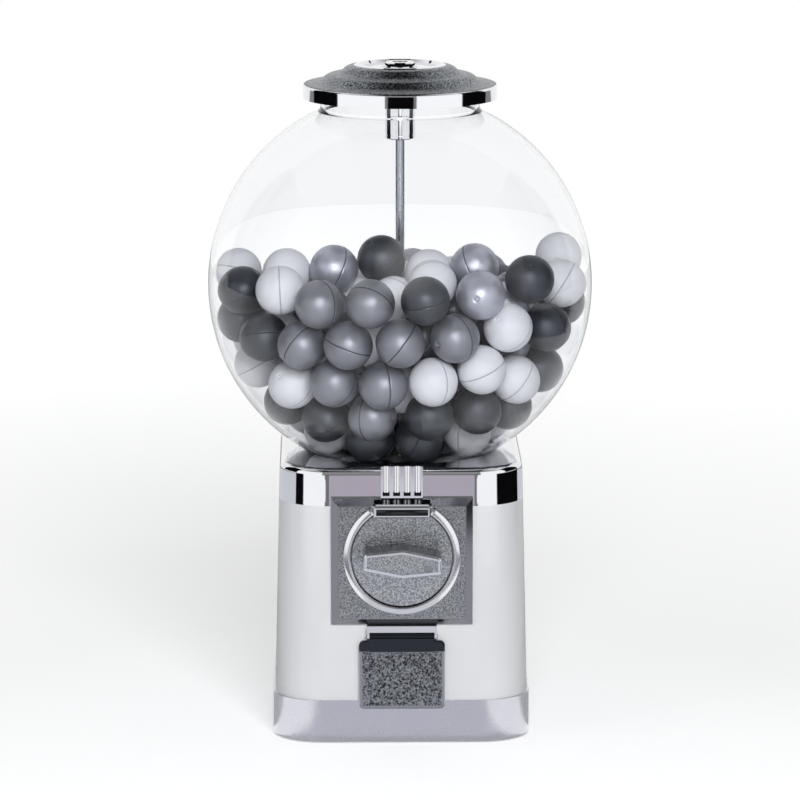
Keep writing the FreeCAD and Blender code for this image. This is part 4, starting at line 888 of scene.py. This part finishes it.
def light_world(scene, sky, room):
    """An even sky that looks white, but dimmer behind the camera, and gives little light."""
    world = bpy.data.worlds.new("studio")
    scene.world = world
    world.use_nodes = True
    tree = world.node_tree
    tree.nodes.clear()
    way = add(tree, "ShaderNodeTexCoord").outputs["Generated"]
    seen_room = ramp(tree, split_axes(tree, way)[1], start=-0.45, end=0.1, low=room)
    path = add(tree, "ShaderNodeLightPath").outputs
    straight = either(tree, path["Is Camera Ray"], path["Is Glossy Ray"])
    seen = either(tree, straight, path["Is Transmission Ray"])
    light = ramp(tree, seen, low=sky, high=seen_room)
    backdrop = add(tree, "ShaderNodeBackground", {"Color": linear("FFFFFF"), "Strength": light})
    add(tree, "ShaderNodeOutputWorld", {"Surface": backdrop.outputs[0]})


def softbox(name, place, aim, width, height, power):
    """A rectangular lamp that lights things and doesn't show in mirrors."""
    lamp = bpy.data.lights.new(name, "AREA")
    lamp.shape = "RECTANGLE"
    lamp.size = width
    lamp.size_y = height
    lamp.energy = power
    holder = bpy.data.objects.new(name, lamp)
    holder.location = place
    holder.rotation_euler = (Vector(aim) - Vector(place)).to_track_quat("-Z", "Y").to_euler()
    holder.visible_glossy = False
    holder.visible_transmission = False
    bpy.context.scene.collection.objects.link(holder)


def set_camera(scene, chosen):
    """A long lens from the front and a little above, as in the photograph."""
    camera = bpy.data.cameras.new("camera")
    camera.lens = chosen.lens
    camera.sensor_width = 36
    camera.sensor_fit = "HORIZONTAL"
    camera.clip_end = 100
    holder = bpy.data.objects.new("camera", camera)
    target = Vector((0, 0, chosen.target))
    away = chosen.distance * math.cos(chosen.elevation)
    holder.location = target + Vector(
        (
            -away * math.sin(chosen.azimuth),
            -away * math.cos(chosen.azimuth),
            chosen.distance * math.sin(chosen.elevation),
        )
    )
    holder.rotation_euler = (target - holder.location).to_track_quat("-Z", "Y").to_euler()
    scene.collection.objects.link(holder)
    scene.camera = holder


class GUMBALL_OT_stage(bpy.types.Operator):
    """Lay the floor, light the studio and set the camera"""

    bl_idname = "gumball.stage"
    bl_label = "Stage"

    def execute(self, context):
        scene = context.scene
        chosen = scene.gumball_stage
        scene.view_settings.view_transform = "Standard"
        lay_cards(chosen.glow)
        light_world(scene, chosen.sky, chosen.room)
        softbox("key", (0.25, -2.2, 1.2), (0, 0, 0.25), width=1.0, height=1.0, power=chosen.key)
        softbox("fill", (-1.9, -1.2, 1.2), (0, 0, 0.2), width=1.2, height=1.4, power=chosen.fill)
        softbox("top", (0, 0.3, 2.4), (0, 0, 0.3), width=1.6, height=1.6, power=chosen.top)
        set_camera(scene, chosen)
        return {"FINISHED"}


class GUMBALL_PT_panel(bpy.types.Panel):
    """Lists the pieces of the gumball machine"""

    bl_label = "Gumball machine"
    bl_idname = "GUMBALL_PT_panel"
    bl_space_type = "VIEW_3D"
    bl_region_type = "UI"
    bl_category = "Gumball"

    def draw(self, context):
        for operator in OPERATORS:
            self.layout.operator(operator.bl_idname)


OPERATORS = (
    GUMBALL_OT_finishes,
    GUMBALL_OT_balls,
    GUMBALL_OT_ring,
    GUMBALL_OT_hood,
    GUMBALL_OT_dimple,
    GUMBALL_OT_stage,
)
SETTINGS = {
    "gumball_finishes": FinishSettings,
    "gumball_balls": BallSettings,
    "gumball_fittings": FittingSettings,
    "gumball_stage": StageSettings,
}


def register():
    for kind in (*SETTINGS.values(), *OPERATORS, GUMBALL_PT_panel):
        bpy.utils.register_class(kind)
    for name, kind in SETTINGS.items():
        setattr(bpy.types.Scene, name, bpy.props.PointerProperty(type=kind))


def unregister():
    for name in SETTINGS:
        delattr(bpy.types.Scene, name)
    for kind in (GUMBALL_PT_panel, *reversed(OPERATORS), *SETTINGS.values()):
        bpy.utils.unregister_class(kind)


def main():
    register()
    bpy.ops.gumball.finishes()
    bpy.ops.gumball.balls()
    bpy.ops.gumball.ring()
    bpy.ops.gumball.hood()
    bpy.ops.gumball.dimple()
    bpy.ops.gumball.stage()


if __name__ == "__main__":
    main()
